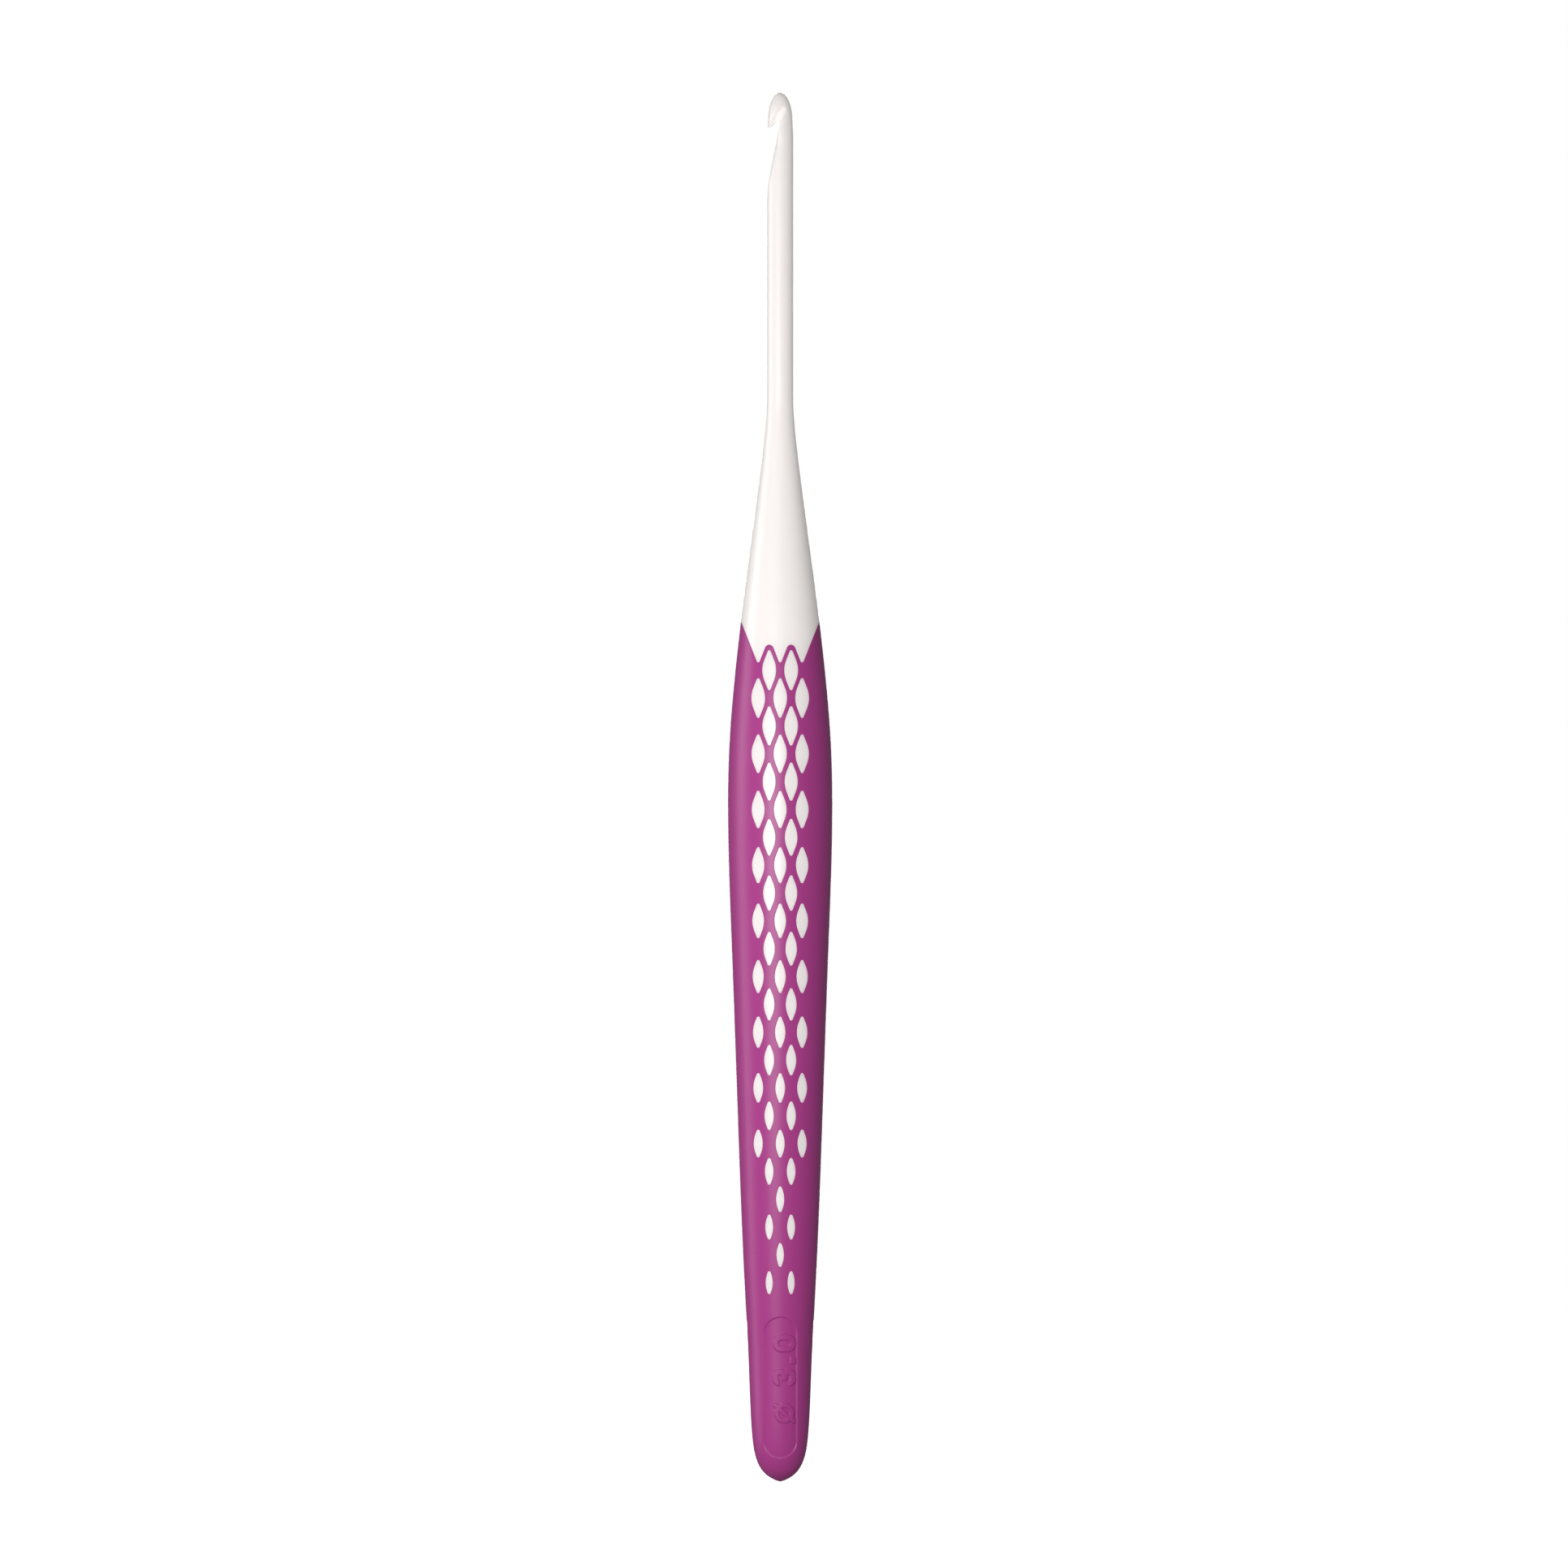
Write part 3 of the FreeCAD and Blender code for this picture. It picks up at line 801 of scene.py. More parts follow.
@dataclass
class SizePanel:
    """The sunk size panel on the front of the butt end, and its raised figures.

    The figures read from the butt end up: u runs along +Z and v is their height.
    """

    start: float = 2.8
    length: float = 16.2
    width: float = 3.88
    depth: float = 0.15
    draft: float = 0.035
    margin: float = 0.1
    high: float = 2.7
    stroke: float = 0.64
    zero_w: float = 2.0
    three_w: float = 1.9
    dot_w: float = 0.8
    dot_corner: float = 0.1
    bowl_corner: float = 0.45       # share of a bowl's height
    slot_strokes: float = 2.4       # strokes by which the 3's opening is lower than the 3
    slot_corner: float = 0.05
    sign_d: float = 2.3
    sign_stroke: float = 0.5
    sign_bar: float = 3.3
    sign_slant: float = math.radians(50)
    gap: float = 0.6
    sign_gap: float = 2.0
    end_gap: float = 2.0

    def sunk(self, x: np.ndarray, z: np.ndarray) -> np.ndarray:
        """Depth of the panel's floor at each place; 0 outside it and on the figures.

        Args:
            x: places across the hook.
            z: heights.

        Returns:
            Depths.
        """
        middle = self.start + self.length / 2
        panel = box_distance(x, z - middle, self.width, self.length, self.width / 2)
        figures = self._figures(z, self.width / 2 - self.margin - x)
        return self.depth * soft_step(-panel / self.draft) * soft_step(figures / self.draft)

    def _figures(self, u: np.ndarray, v: np.ndarray) -> np.ndarray:
        """Distance outside the figures: 0, the point, 3 and a plain diameter sign.

        Args:
            u: places along the panel, from the butt end up.
            v: places across it, from the figures' foot.

        Returns:
            Distance, negative inside a figure.
        """
        zero_u = self.start + self.length - self.end_gap - self.zero_w / 2
        dot_u = zero_u - self.zero_w / 2 - self.gap - self.dot_w / 2
        three_u = dot_u - self.dot_w / 2 - self.gap - self.three_w / 2
        sign_u = three_u - self.three_w / 2 - self.sign_gap - self.sign_d / 2
        v = v - self.high / 2
        zero = self._ring(u - zero_u, v, self.zero_w, self.high, self.zero_w / 2)
        foot = v + (self.high - self.stroke) / 2
        dot = box_distance(u - dot_u, foot, self.dot_w, self.stroke, self.dot_corner)
        three, sign = self._three(u - three_u, v), self._sign(u - sign_u, v)
        return np.minimum.reduce([zero, dot, three, sign])

    def _ring(
        self, u: np.ndarray, v: np.ndarray, wide: float, high: float, corner: float
    ) -> np.ndarray:
        """Distance outside a stroke run round just inside a rounded box.

        Args:
            u: places along the box's width, from its middle.
            v: places along its height.
            wide: width.
            high: height.
            corner: corner radius.

        Returns:
            Distance, negative inside the stroke.
        """
        half = self.stroke / 2
        path = box_distance(u, v, wide - self.stroke, high - self.stroke, corner - half)
        return np.abs(path) - half

    def _three(self, u: np.ndarray, v: np.ndarray) -> np.ndarray:
        """Distance outside the figure 3: two bowls, open towards its left.

        Formula: two rings that share a stroke, less a box over their left middle.

        Args:
            u: places along the figure's width, from its middle.
            v: places along its height.

        Returns:
            Distance, negative inside.
        """
        bowl = (self.high + self.stroke) / 2
        corner, middle = bowl * self.bowl_corner, (self.high - bowl) / 2
        low = self._ring(u, v + middle, self.three_w, bowl, corner)
        up = self._ring(u, v - middle, self.three_w, bowl, corner)
        wide, high = 2 * self.three_w / 3, self.high - self.slot_strokes * self.stroke
        cut = box_distance(u + self.three_w / 2, v, wide, high, self.slot_corner)
        return np.maximum(np.minimum(low, up), -cut)

    def _sign(self, u: np.ndarray, v: np.ndarray) -> np.ndarray:
        """Distance outside the diameter sign: a round ring with a slanting bar.

        Args:
            u: places along the sign's width, from its middle.
            v: places along its height.

        Returns:
            Distance, negative inside.
        """
        half = self.sign_stroke / 2
        ring = np.abs(np.hypot(u, v) - self.sign_d / 2 + half) - half
        along = u * math.cos(self.sign_slant) + v * math.sin(self.sign_slant)
        across = v * math.cos(self.sign_slant) - u * math.sin(self.sign_slant)
        return np.minimum(ring, box_distance(along, across, self.sign_bar, self.sign_stroke, half))


@dataclass
class GripSleeve:
    """The soft grip: a closed sleeve with windows, a zigzag top edge and the size panel."""

    pattern: WindowPattern
    seam: Seam
    panel: SizePanel
    fine_step: float = 0.062        # between points over the panel
    fine_turn: float = 0.82         # radians, columns are fine this far from the front
    turn_stretch: float = 1.08      # spacing of the columns over that of the rows
    coarse_count: int = 30
    below_panel: float = 0.5        # fine rows start this far below the panel
    above_panel: float = 0.3        # and end this far above it
    cap_rows: int = 26
    inner_columns: int = 48
    inner_rows: int = 12

    def _cells(self, shell: Shell) -> None:
        """Adds the cells: outer skin, rounded edge, window wall and inner skin, ring by ring.

        Args:
            shell: where to add them.
        """
        pattern, seam = self.pattern, self.seam
        e = seam.edge_r
        sides = pattern.sides(e)
        near = pattern.outline(e + seam.support)
        rings = [(sides, 0.0), ((sides + near) / 2, 0.0), (near, 0.0)]
        rings += [(pattern.outline(e * out), e * down) for out, down in seam.rounded()]
        rings += [(pattern.outline(0.0), seam.wall), (pattern.sides(0.0), seam.wall)]
        for facing in Facing:
            grid = np.stack([pattern.body.lift(flat, depth, facing) for flat, depth in rings], 1)
            shell.grid(grid[pattern.open], closed=True)
            for edge, depth in ((e, 0.0), (0.0, seam.wall)):
                self._plain(shell, edge, depth, facing)

    def _plain(self, shell: Shell, edge: float, depth: float, facing: Facing) -> None:
        """Adds one skin of the cells that have no window, drawn in to their centres.

        Args:
            shell: where to add it.
            edge: distance the zigzag edge is moved into the sleeve.
            depth: depth of the skin under the outer one.
            facing: the face.
        """
        pattern = self.pattern
        share = np.linspace(0, 1, pattern.centre_steps)[None, :, None, None]
        sides, centre = pattern.sides(edge)[:, None], pattern.centre[:, None, None]
        flat = sides * (1 - share) + centre * share
        shell.grid(pattern.body.lift(flat[~pattern.open], depth, facing), closed=True)

    def build(self) -> bpy.types.Object:
        """Makes the sleeve.

        Returns:
            The finished piece, in the place of its CAD node.
        """
        pattern, seam, body = self.pattern, self.seam, self.pattern.body
        shell = Shell("soft_grip")
        self._cells(shell)
        for hand in Side:
            shell.grid(pattern.flank(seam.edge_r, 0.0, hand))
            shell.grid(pattern.flank(0.0, seam.wall, hand))
        rings = [(seam.edge_r * out, seam.edge_r * down) for out, down in seam.rounded()]
        rings.append((0.0, seam.wall))
        edge = [body.place(*pattern.zigzag(inset), depth) for inset, depth in rings]
        shell.grid(np.stack(edge), closed=True)
        panel_end = self.panel.start + self.panel.length
        first, last = self.panel.start - self.below_panel, panel_end + self.above_panel
        rows = np.arange(first, last, self.fine_step)
        turn_step = self.fine_step / body.radius(panel_end) * self.turn_stretch
        fine = np.arange(0, self.fine_turn, turn_step)
        coarse = np.linspace(fine[-1], TURN - fine[-1], self.coarse_count + 2)[1:-1]
        turn = np.concatenate([fine, coarse, TURN - fine[:0:-1]])
        x = body.radius(rows)[:, None] * np.sin(turn)
        sunk = np.where(np.cos(turn) > 0, self.panel.sunk(x, rows[:, None]), 0.0)
        butt_surface(shell, pattern, 0.0, rows, self.cap_rows, turn, sunk)
        inner_turn = np.linspace(0, TURN, self.inner_columns, endpoint=False)
        inner = np.linspace(rows[0], rows[-1], self.inner_rows)
        butt_surface(shell, pattern, seam.wall, inner, self.inner_rows, inner_turn)
        obj = shell.build()
        obj.data.materials.append(GRIP_ELASTOMER.material())
        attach(obj, "root")
        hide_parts("grip_sleeve")
        return obj


@dataclass
class Head:
    """The hook's head: cut-down shank, throat, lip and nose, as slices along a bent path.

    The slices stand across the neck's cut up the shank, and then fan about the
    throat's centre, over the nose and down to the end of the lip.
    """

    body: Body
    neck_t: float = 1.45            # thickness behind the throat
    runout_r: float = 19.4          # of the arc that starts the shank's cut
    throat_r: float = 0.27
    lip_slope: float = math.radians(50)     # of the lip's inner side, from the level
    lip_r: float = 0.22             # of the lip's round end
    lip_clear: float = 0.02         # how far that round runs past the nose's radius
    lip_reach: float = 0.7          # below its centre, where the round can cut
    shank_edge_r: float = 0.85
    throat_edge_r: float = 0.2
    groove_r: float = 0.4
    groove_x: float = -0.3          # start of the groove's line, from the throat's centre
    groove_y: float = 0.65          # its depth there, from the middle plane
    groove_lean: float = math.radians(29)   # from the hook's axis
    groove_rise: float = math.radians(24)   # towards the face
    groove_edge_r: float = 0.18
    groove_back: float = 0.05       # how far the line runs back from its start
    groove_zone: float = 2.0        # below the throat's roof, where the grooves can reach
    edge_fade: float = 2.5          # length over which the cut's edges grow rounder
    edge_share: float = 0.9         # most of the cut's depth that its edges may take
    columns: int = 120
    shank_slices: int = 64
    fan_slices: int = 170
    fan_crowding: float = 1.6       # crowds the slices towards the end of the lip
    lip_turn: float = TURN * 0.64   # radians, past the end of the lip
    lip_probe: tuple = (0.3, 2.2)   # distances from the throat's centre that find it
    lip_turns: int = 1500
    lip_steps: int = 500
    slice_probe: tuple = (0.1, 4.4)     # distances along a slice that find its solid
    slice_steps: int = 1600
    ray_reach: float = 2.6          # longer than any ray from a slice's middle
    ray_steps: int = 105
    halvings: int = 30

    def __post_init__(self) -> None:
        """Works out the neck's lean, and the centres of the throat and the lip's end."""
        body = self.body
        cut_in = 2 * body.shaft_r - self.neck_t
        beside = self.runout_r - cut_in
        reach = math.hypot(body.shank_len, beside)
        self.lean = math.asin(self.runout_r / reach) - math.atan2(beside, body.shank_len)
        neck_x = body.shaft_r - self.neck_t - self.throat_r * math.tan(self.lean)
        self.straight_z = body.shank_z + self.runout_r * math.sin(self.lean)
        centre_x = neck_x - self.throat_r / math.cos(self.lean)
        self.centre = np.array([centre_x, body.roof_z - self.throat_r])
        lip_x = self.lip_r - body.head_r - self.lip_clear
        end = self.centre + self.throat_r * np.array([-math.sin(self.lip_slope), math.cos(self.lip_slope)])
        drop = (math.sin(self.lip_slope) * (end[0] - lip_x) - self.lip_r) / math.cos(self.lip_slope)
        self.lip = np.array([lip_x, end[1] - drop])

    def _envelope(self, x: np.ndarray, y: np.ndarray, z: np.ndarray) -> np.ndarray:
        """Field of the uncut head: a shaft that narrows a little, and an elliptical nose.

        Args:
            x: places across the hook, the throat's side negative.
            y: places through it.
            z: heights.

        Returns:
            The field, negative inside.
        """
        body = self.body
        share = (z - body.roof_z + body.head_blend) / body.head_blend
        radius = body.shaft_r + (body.head_r - body.shaft_r) * soft_step(2 * share - 1)
        shaft = np.hypot(x, y) - radius
        up = np.maximum(z - body.roof_z, 0) / body.nose_len
        nose = (np.sqrt((x**2 + y**2) / body.head_r**2 + up**2) - 1) * body.head_r
        return np.where(z > body.roof_z, nose, shaft)

    def _throat(self, x: np.ndarray, z: np.ndarray) -> np.ndarray:
        """Depth inside the solid, from the cut that opens the throat.

        Formula: over the throat's round roof, the distance from its centre less its
        radius; elsewhere the larger of the distances past the neck's cut, an arc
        and then its tangent, and past the lip's inner side. Round the lip's end it
        is the end's radius less the distance from its centre.

        Args:
            x: places across the hook, the throat's side negative.
            z: heights.

        Returns:
            Depth, negative in the cut.
        """
        dx, dz = x - self.centre[0], z - self.centre[1]
        arc_x = x - self.runout_r + self.body.shaft_r
        arc = self.runout_r - np.hypot(arc_x, z - self.body.shank_z)
        straight = dx * math.cos(self.lean) - dz * math.sin(self.lean) - self.throat_r
        neck = np.where(z < self.straight_z, arc, straight)
        lip = dz * math.cos(self.lip_slope) - dx * math.sin(self.lip_slope) - self.throat_r
        turn = np.arctan2(dz, dx)
        roof = (turn > -self.lean) & (turn < self.lip_slope + TURN / 4)
        open_side = np.where(roof, np.hypot(dx, dz) - self.throat_r, np.maximum(neck, lip))
        lx, lz = x - self.lip[0], z - self.lip[1]
        past_lip = lx * math.cos(self.lip_slope) + lz * math.sin(self.lip_slope) < 0
        past_lip &= (lz < 0) & (lz > -self.lip_reach) & (dx < 0)
        return np.where(past_lip, self.lip_r - np.hypot(lx, lz), open_side)

    def _groove(self, x: np.ndarray, y: np.ndarray, z: np.ndarray) -> np.ndarray:
        """Distance outside the guide grooves, one in each face, mirrored.

        Formula: the distance from a slanting straight line less the groove's
        radius, and beyond the line, towards the face, the distance across the
        face alone, so that the groove stays open all the way out.

        Args:
            x: places across the hook, the throat's side negative.
            y: places through it.
            z: heights.

        Returns:
            Distance, negative in a groove.
        """
        along = np.array([
            math.sin(self.groove_lean) * math.cos(self.groove_rise),
            math.sin(self.groove_rise),
            math.cos(self.groove_lean) * math.cos(self.groove_rise),
        ])
        dx, dz = x - self.centre[0] - self.groove_x, z - self.centre[1]
        at = np.stack([dx, np.abs(y) - self.groove_y, dz], -1)
        run = np.maximum(at @ along, -self.groove_back)
        off = at - run[..., None] * along
        off[..., 1] = np.minimum(off[..., 1], 0)
        return np.linalg.norm(off, axis=-1) - self.groove_r

    def _solid(self, points: np.ndarray, edge_r: np.ndarray) -> np.ndarray:
        """Field of the finished head, negative inside.

        Args:
            points: places (..., 3).
            edge_r: radius of the cut's rounded edges at each slice.

        Returns:
            The field at each place.
        """
        x, y, z = points[..., 0], points[..., 1], points[..., 2]
        lx, lz = x - self.lip[0], z - self.lip[1]
        fade = lz**2 / np.maximum(lx**2 + lz**2, TINY_SQUARE)
        outer = (lx < 0) & (lz < 0) & (lz > -self.lip_reach)
        edge_r = edge_r * np.where(outer, fade, 1) + TINY
        whole = round_max(self._envelope(x, y, z), -self._throat(x, z), edge_r)
        near_throat = z > self.body.roof_z - self.groove_zone
        grooved = round_max(whole, -self._groove(x, y, z), np.full_like(x, self.groove_edge_r))
        return np.where(near_throat, grooved, whole)

    def _slices(self) -> tuple[np.ndarray, np.ndarray, np.ndarray]:
        """Lays out the slices, up the shank and then about the throat's centre.

        Returns:
            Their starting points (x, z), their directions, and their edge radii.
        """
        body = self.body
        along = np.linspace(0, 1, self.shank_slices)
        last_z = self.centre[1] - self.throat_r * math.sin(self.lean)
        z = body.shank_z + (last_z - body.shank_z) * along
        arc_lean = np.arcsin(np.minimum((z - body.shank_z) / self.runout_r, 1))
        lean = np.where(z < self.straight_z, arc_lean, self.lean)
        arc_x = self.runout_r - body.shaft_r - self.runout_r * np.cos(lean)
        x = arc_x + np.maximum(z - self.straight_z, 0) * math.tan(self.lean)
        cut = x + body.shaft_r
        far = soft_step(2 * (last_z - z) / self.edge_fade - 1)
        edge = self.throat_edge_r + (self.shank_edge_r - self.throat_edge_r) * far
        edge = np.minimum(edge, self.edge_share * cut)
        turn_end = self._lip_end()
        share = np.linspace(0, 1, self.fan_slices + 1)[1:]
        turn = -self.lean + (turn_end + self.lean) * (1 - (1 - share) ** self.fan_crowding)
        starts = np.concatenate([np.stack([x, z], -1), np.broadcast_to(self.centre, (len(turn), 2))])
        ways = np.concatenate([-lean, turn])
        starts[: len(x)] -= self.throat_r * np.stack([np.cos(lean), -np.sin(lean)], -1)
        edges = np.concatenate([edge, np.full(len(turn), self.throat_edge_r)])
        return starts, ways, np.maximum(edges, TINY)

    def _lip_end(self) -> float:
        """Finds the lip's very end.

        Returns:
            Its angle about the throat's centre.
        """
        turn = np.linspace(self.lip_slope + TURN / 4, self.lip_turn, self.lip_turns)[:, None]
        reach = np.linspace(*self.lip_probe, self.lip_steps)[None]
        x, z = self.centre[0] + reach * np.cos(turn), self.centre[1] + reach * np.sin(turn)
        points = np.stack([x, np.zeros_like(x), z], -1)
        inside = (self._solid(points, np.full_like(x, self.throat_edge_r)) < 0).any(1)
        return float(turn[inside][-1, 0])

    def surface(self) -> np.ndarray:
        """The head's skin as a grid of slices, the last one drawn to a point.

        Formula: in each slice, rays leave the middle of the solid at even angles,
        and each is halved again and again to where the field is zero.

        Returns:
            Points (slice, column, 3).
        """
        starts, ways, edges = self._slices()
        way = np.stack([np.cos(ways), np.zeros_like(ways), np.sin(ways)], -1)
        base = np.stack([starts[:, 0], np.zeros(len(ways)), starts[:, 1]], -1)
        reach = np.linspace(*self.slice_probe, self.slice_steps)
        line = base[:, None] + reach[None, :, None] * way[:, None]
        inside = self._solid(line, np.broadcast_to(edges[:, None], line.shape[:2])) < 0
        first = reach[inside.argmax(1)]
        last = reach[len(reach) - 1 - inside[:, ::-1].argmax(1)]
        middle = base + ((first + last) / 2)[:, None] * way
        turn = np.linspace(0, TURN, self.columns, endpoint=False)
        sideways = np.array([0.0, 1.0, 0.0])
        rays = np.cos(turn)[:, None] * way[:, None] + np.sin(turn)[:, None] * sideways
        edge = np.broadcast_to(edges[:, None], rays.shape[:2])
        march = np.linspace(0, self.ray_reach, self.ray_steps)
        out = np.stack([self._solid(middle[:, None] + t * rays, edge) > 0 for t in march])
        high = march[out.argmax(0)]
        low = high - march[1]
        for _ in range(self.halvings):
            half = (low + high) / 2
            outside = self._solid(middle[:, None] + half[..., None] * rays, edge) > 0
            high, low = np.where(outside, half, high), np.where(outside, low, half)
        skin = middle[:, None] + low[..., None] * rays
        skin[-1] = skin[-1].mean(0)
        return skin


@dataclass
class HookCore:
    """The hard moulding: head, shaft, taper, bar inside the grip, and the window pads."""

    pattern: WindowPattern
    seam: Seam
    head: Head
    blend_top: float = 102.0        # end of the shoulder's even rows, above the zigzag
    blend_gap: float = 0.4          # from there to the taper's first row
    shoulder_rows: int = 12
    shoulder_crowding: float = 1.5  # crowds those rows towards the zigzag
    taper_rows: int = 48
    shaft_rows: int = 10
    butt_span: tuple = (3.0, 19.3)  # heights of the bar's rows under the panel
    butt_rows: int = 12

    def _cells(self, shell: Shell) -> None:
        """Adds the cells: bar under the ribs, pad wall, rounded edge and pad face, ring by ring.

        Args:
            shell: where to add them.
        """
        pattern, seam = self.pattern, self.seam
        e, g = seam.edge_r, seam.gap
        bar = seam.wall + g
        edge = [(pattern.outline(-g - e * out), e * down) for out, down in seam.rounded()[::-1]]
        near = pattern.outline(-g - e - seam.support)
        centre = np.broadcast_to(pattern.centre[:, None], near.shape)
        rings = [(pattern.sides(-g), bar), (pattern.outline(-g), bar)] + edge
        rings += [(near, 0.0), ((2 * near + centre) / 3, 0.0)]
        rings += [((near + 2 * centre) / 3, 0.0), (centre, 0.0)]
        share = np.linspace(0, 1, pattern.centre_steps)[None, :, None, None]
        sides = pattern.sides(-g)[:, None]
        plain = (sides * (1 - share) + centre[:, None] * share)[~pattern.open]
        for facing in Facing:
            grid = np.stack([pattern.body.lift(flat, depth, facing) for flat, depth in rings], 1)
            shell.grid(grid[pattern.open], closed=True)
            shell.grid(pattern.body.lift(plain, bar, facing), closed=True)

    def build(self) -> bpy.types.Object:
        """Makes the core.

        Returns:
            The finished piece, in the place of its CAD node.
        """
        pattern, seam, body = self.pattern, self.seam, self.pattern.body
        bar = seam.wall + seam.gap
        shell = Shell("hard_core")
        self._cells(shell)
        for hand in Side:
            shell.grid(pattern.flank(-seam.gap, bar, hand))
        rings = [(-seam.gap, bar)]
        for out, down in seam.rounded()[::-1]:
            rings.append((-seam.gap - seam.edge_r * out, seam.edge_r * down))
        edge = [body.place(*pattern.zigzag(inset), depth) for inset, depth in rings]
        shell.grid(np.stack(edge), closed=True)
        alpha, z = pattern.zigzag(-seam.gap - seam.edge_r)
        share = (np.linspace(0, 1, self.shoulder_rows) ** self.shoulder_crowding)[:, None]
        shoulder = body.place(alpha, z * (1 - share) + self.blend_top * share, 0.0)
        shell.grid(shoulder, closed=True)
        turn = np.linspace(0, TURN, self.head.columns, endpoint=False)
        rows = np.linspace(self.blend_top + self.blend_gap, body.shaft_z, self.taper_rows)
        rows = np.append(rows, np.linspace(body.shaft_z, body.shank_z, self.shaft_rows)[1:])
        shaft = body.place(turn[None], rows[:, None], 0.0)
        shell.grid(shaft, closed=True)
        shell.zip(shoulder[-1], alpha, shaft[0], turn)
        shell.grid(self.head.surface(), closed=True)
        butt = np.linspace(*self.butt_span, self.butt_rows)
        butt_surface(shell, pattern, bar, butt, self.butt_rows, turn[::2])
        obj = shell.build()
        obj.data.materials.append(CORE_POLYMER.material())
        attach(obj, "root")
        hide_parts("hook_core")
        return obj


# ---- Studio ---------------------------------------------------------------------------
@dataclass(frozen=True)
class Softbox:
    """A soft light panel: where it stands round the hook, its size and its strength."""

    name: str
    azimuth: float
    height: float
    distance: float
    width: float
    tall: float
    irradiance: float

    def build(self, aim: Vector) -> None:
        """Makes the light, turned to face the aim.

        Args:
            aim: point it faces.
        """
        light = bpy.data.lights.new(self.name, "AREA")
        light.shape = "RECTANGLE"
        light.size, light.size_y = self.width, self.tall
        light.energy = self.irradiance * math.pi**2 * self.distance**2
        obj = bpy.data.objects.new(self.name, light)
        turn = math.radians(self.azimuth)
        away = Vector((math.sin(turn), -math.cos(turn), 0)) * self.distance
        obj.location = away + Vector((0, 0, self.height))
        obj.rotation_mode = "QUATERNION"
        obj.rotation_quaternion = (obj.location - aim).to_track_quat("Z", "Y")
        bpy.context.scene.collection.objects.link(obj)


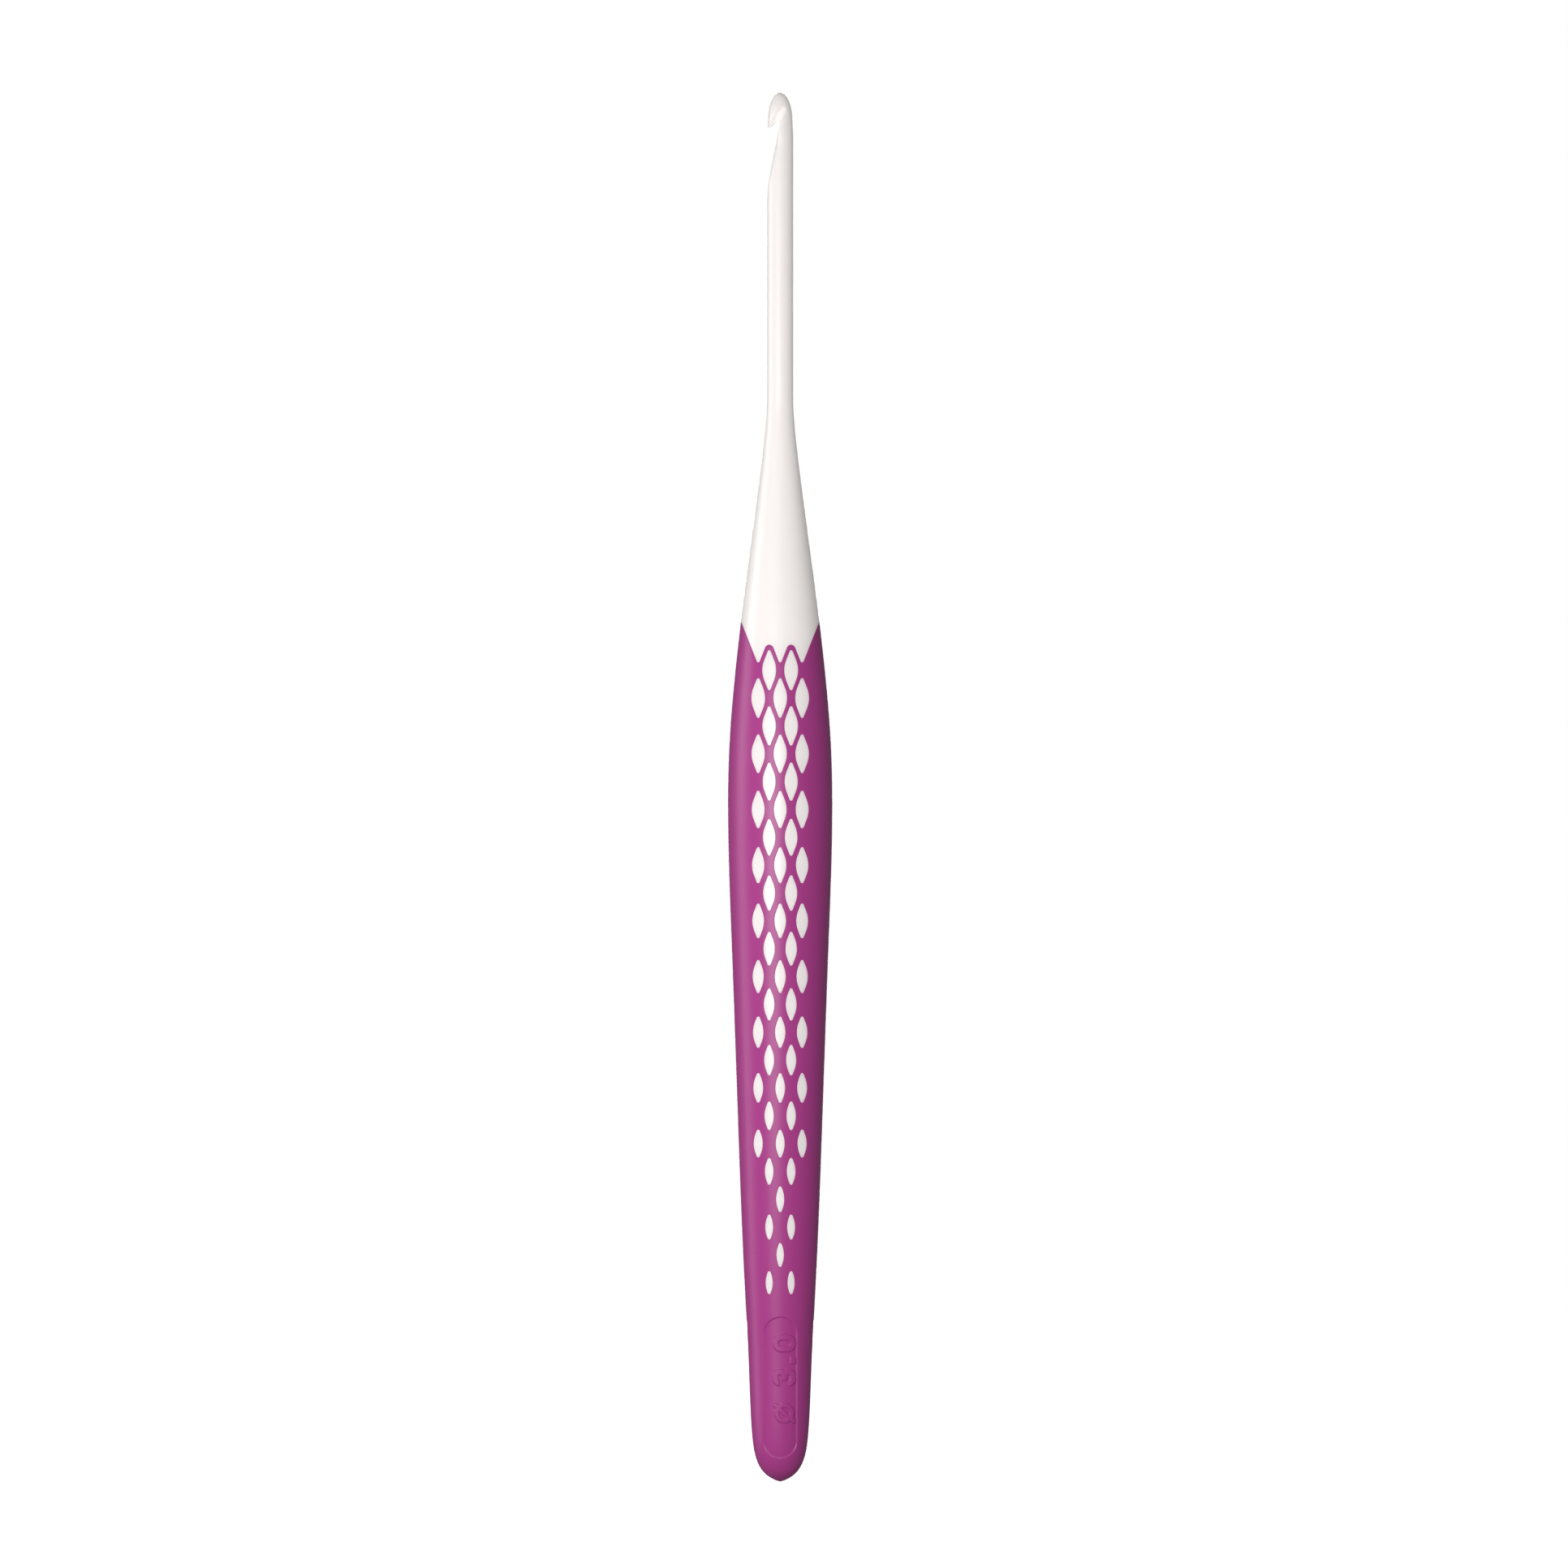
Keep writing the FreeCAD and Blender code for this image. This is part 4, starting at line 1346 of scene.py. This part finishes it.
@dataclass
class Studio:
    """Pale floor, white surround, soft lights and a long-lens camera level with the hook."""

    frame_width: float = 0.18064
    camera_height: float = 0.08036
    camera_x: float = 0.00044
    camera_distance: float = 3.0
    sensor: float = 36.0
    clip: tuple = (0.1, 200.0)
    floor_size: float = 60.0
    floor_white: float = 0.9
    floor_glow: float = 0.8
    ambient: float = 0.28
    ambient_fall: float = 0.12
    lights: tuple = (
        Softbox("key_light", -16.0, 0.078, 0.27, 0.115, 0.07, 0.6),
        Softbox("left_light", -95.0, 0.1, 0.9, 0.4, 0.5, 0.3),
        Softbox("back_light", 180.0, 0.1, 0.9, 0.3, 0.5, 0.5),
    )

    def _floor(self) -> None:
        """Makes the floor, a large level sheet at the hook's butt end."""
        half = self.floor_size / 2
        corners = [(-half, -half, 0), (half, -half, 0), (half, half, 0), (-half, half, 0)]
        mesh = bpy.data.meshes.new("floor")
        mesh.from_pydata(corners, [], [(0, 1, 2, 3)])
        floor = bpy.data.objects.new("floor", mesh)
        material = bpy.data.materials.new("floor_white")
        material.use_nodes = True
        shader = material.node_tree.nodes["Principled BSDF"]
        shader.inputs["Base Color"].default_value = (*[self.floor_white] * 3, 1)
        shader.inputs["Roughness"].default_value = 1.0
        shader.inputs["Specular IOR Level"].default_value = 0.0
        shader.inputs["Emission Color"].default_value = (1, 1, 1, 1)
        shader.inputs["Emission Strength"].default_value = self.floor_glow
        mesh.materials.append(material)
        bpy.context.scene.collection.objects.link(floor)
        floor.visible_diffuse = floor.visible_glossy = False

    def _surround(self) -> None:
        """Makes the surround: white to look at, and dimmer as a light."""
        world = bpy.data.worlds.new("surround")
        bpy.context.scene.world = world
        world.use_nodes = True
        tree = world.node_tree
        seen = tree.nodes["Background"]
        seen.inputs["Color"].default_value = (1, 1, 1, 1)
        light = tree.nodes.new("ShaderNodeBackground")
        place = tree.nodes.new("ShaderNodeTexCoord")
        parts = tree.nodes.new("ShaderNodeSeparateXYZ")
        fade = tree.nodes.new("ShaderNodeMath")
        fade.operation = "MULTIPLY_ADD"
        fade.inputs[1].default_value, fade.inputs[2].default_value = -self.ambient_fall, self.ambient
        tree.links.new(place.outputs["Generated"], parts.inputs["Vector"])
        tree.links.new(parts.outputs["Y"], fade.inputs[0])
        tree.links.new(fade.outputs["Value"], light.inputs["Strength"])
        ray = tree.nodes.new("ShaderNodeLightPath")
        mix = tree.nodes.new("ShaderNodeMixShader")
        tree.links.new(ray.outputs["Is Camera Ray"], mix.inputs["Fac"])
        tree.links.new(light.outputs["Background"], mix.inputs[1])
        tree.links.new(seen.outputs["Background"], mix.inputs[2])
        tree.links.new(mix.outputs["Shader"], tree.nodes["World Output"].inputs["Surface"])

    def _camera(self) -> None:
        """Makes the camera, far off with a long lens, level and facing +Y."""
        data = bpy.data.cameras.new("camera")
        data.sensor_width = self.sensor
        data.lens = self.sensor * self.camera_distance / self.frame_width
        data.clip_start, data.clip_end = self.clip
        camera = bpy.data.objects.new("camera", data)
        camera.location = (self.camera_x, -self.camera_distance, self.camera_height)
        camera.rotation_euler = (TURN / 4, 0, 0)
        bpy.context.scene.collection.objects.link(camera)
        bpy.context.scene.camera = camera

    def build(self) -> None:
        """Makes the whole studio."""
        self._floor()
        self._surround()
        for light in self.lights:
            light.build(Vector((0, 0, self.camera_height)))
        self._camera()
        bpy.context.scene.view_settings.view_transform = "Standard"


def main() -> None:
    """Builds the studio and both pieces, and reports each one."""
    logging.basicConfig(level=logging.INFO, format="%(name)s: %(message)s")
    Studio().build()
    body = Body(length=cad_box[1].z / MM)
    pattern = WindowPattern(body)
    seam = Seam()
    core = HookCore(pattern, seam, Head(body)).build()
    grip = GripSleeve(pattern, seam, SizePanel()).build()
    for piece in (core, grip):
        log.info("%s size %s mm", piece.name, [round(side / MM, 2) for side in piece.dimensions])


if __name__ == "__main__":
    main()
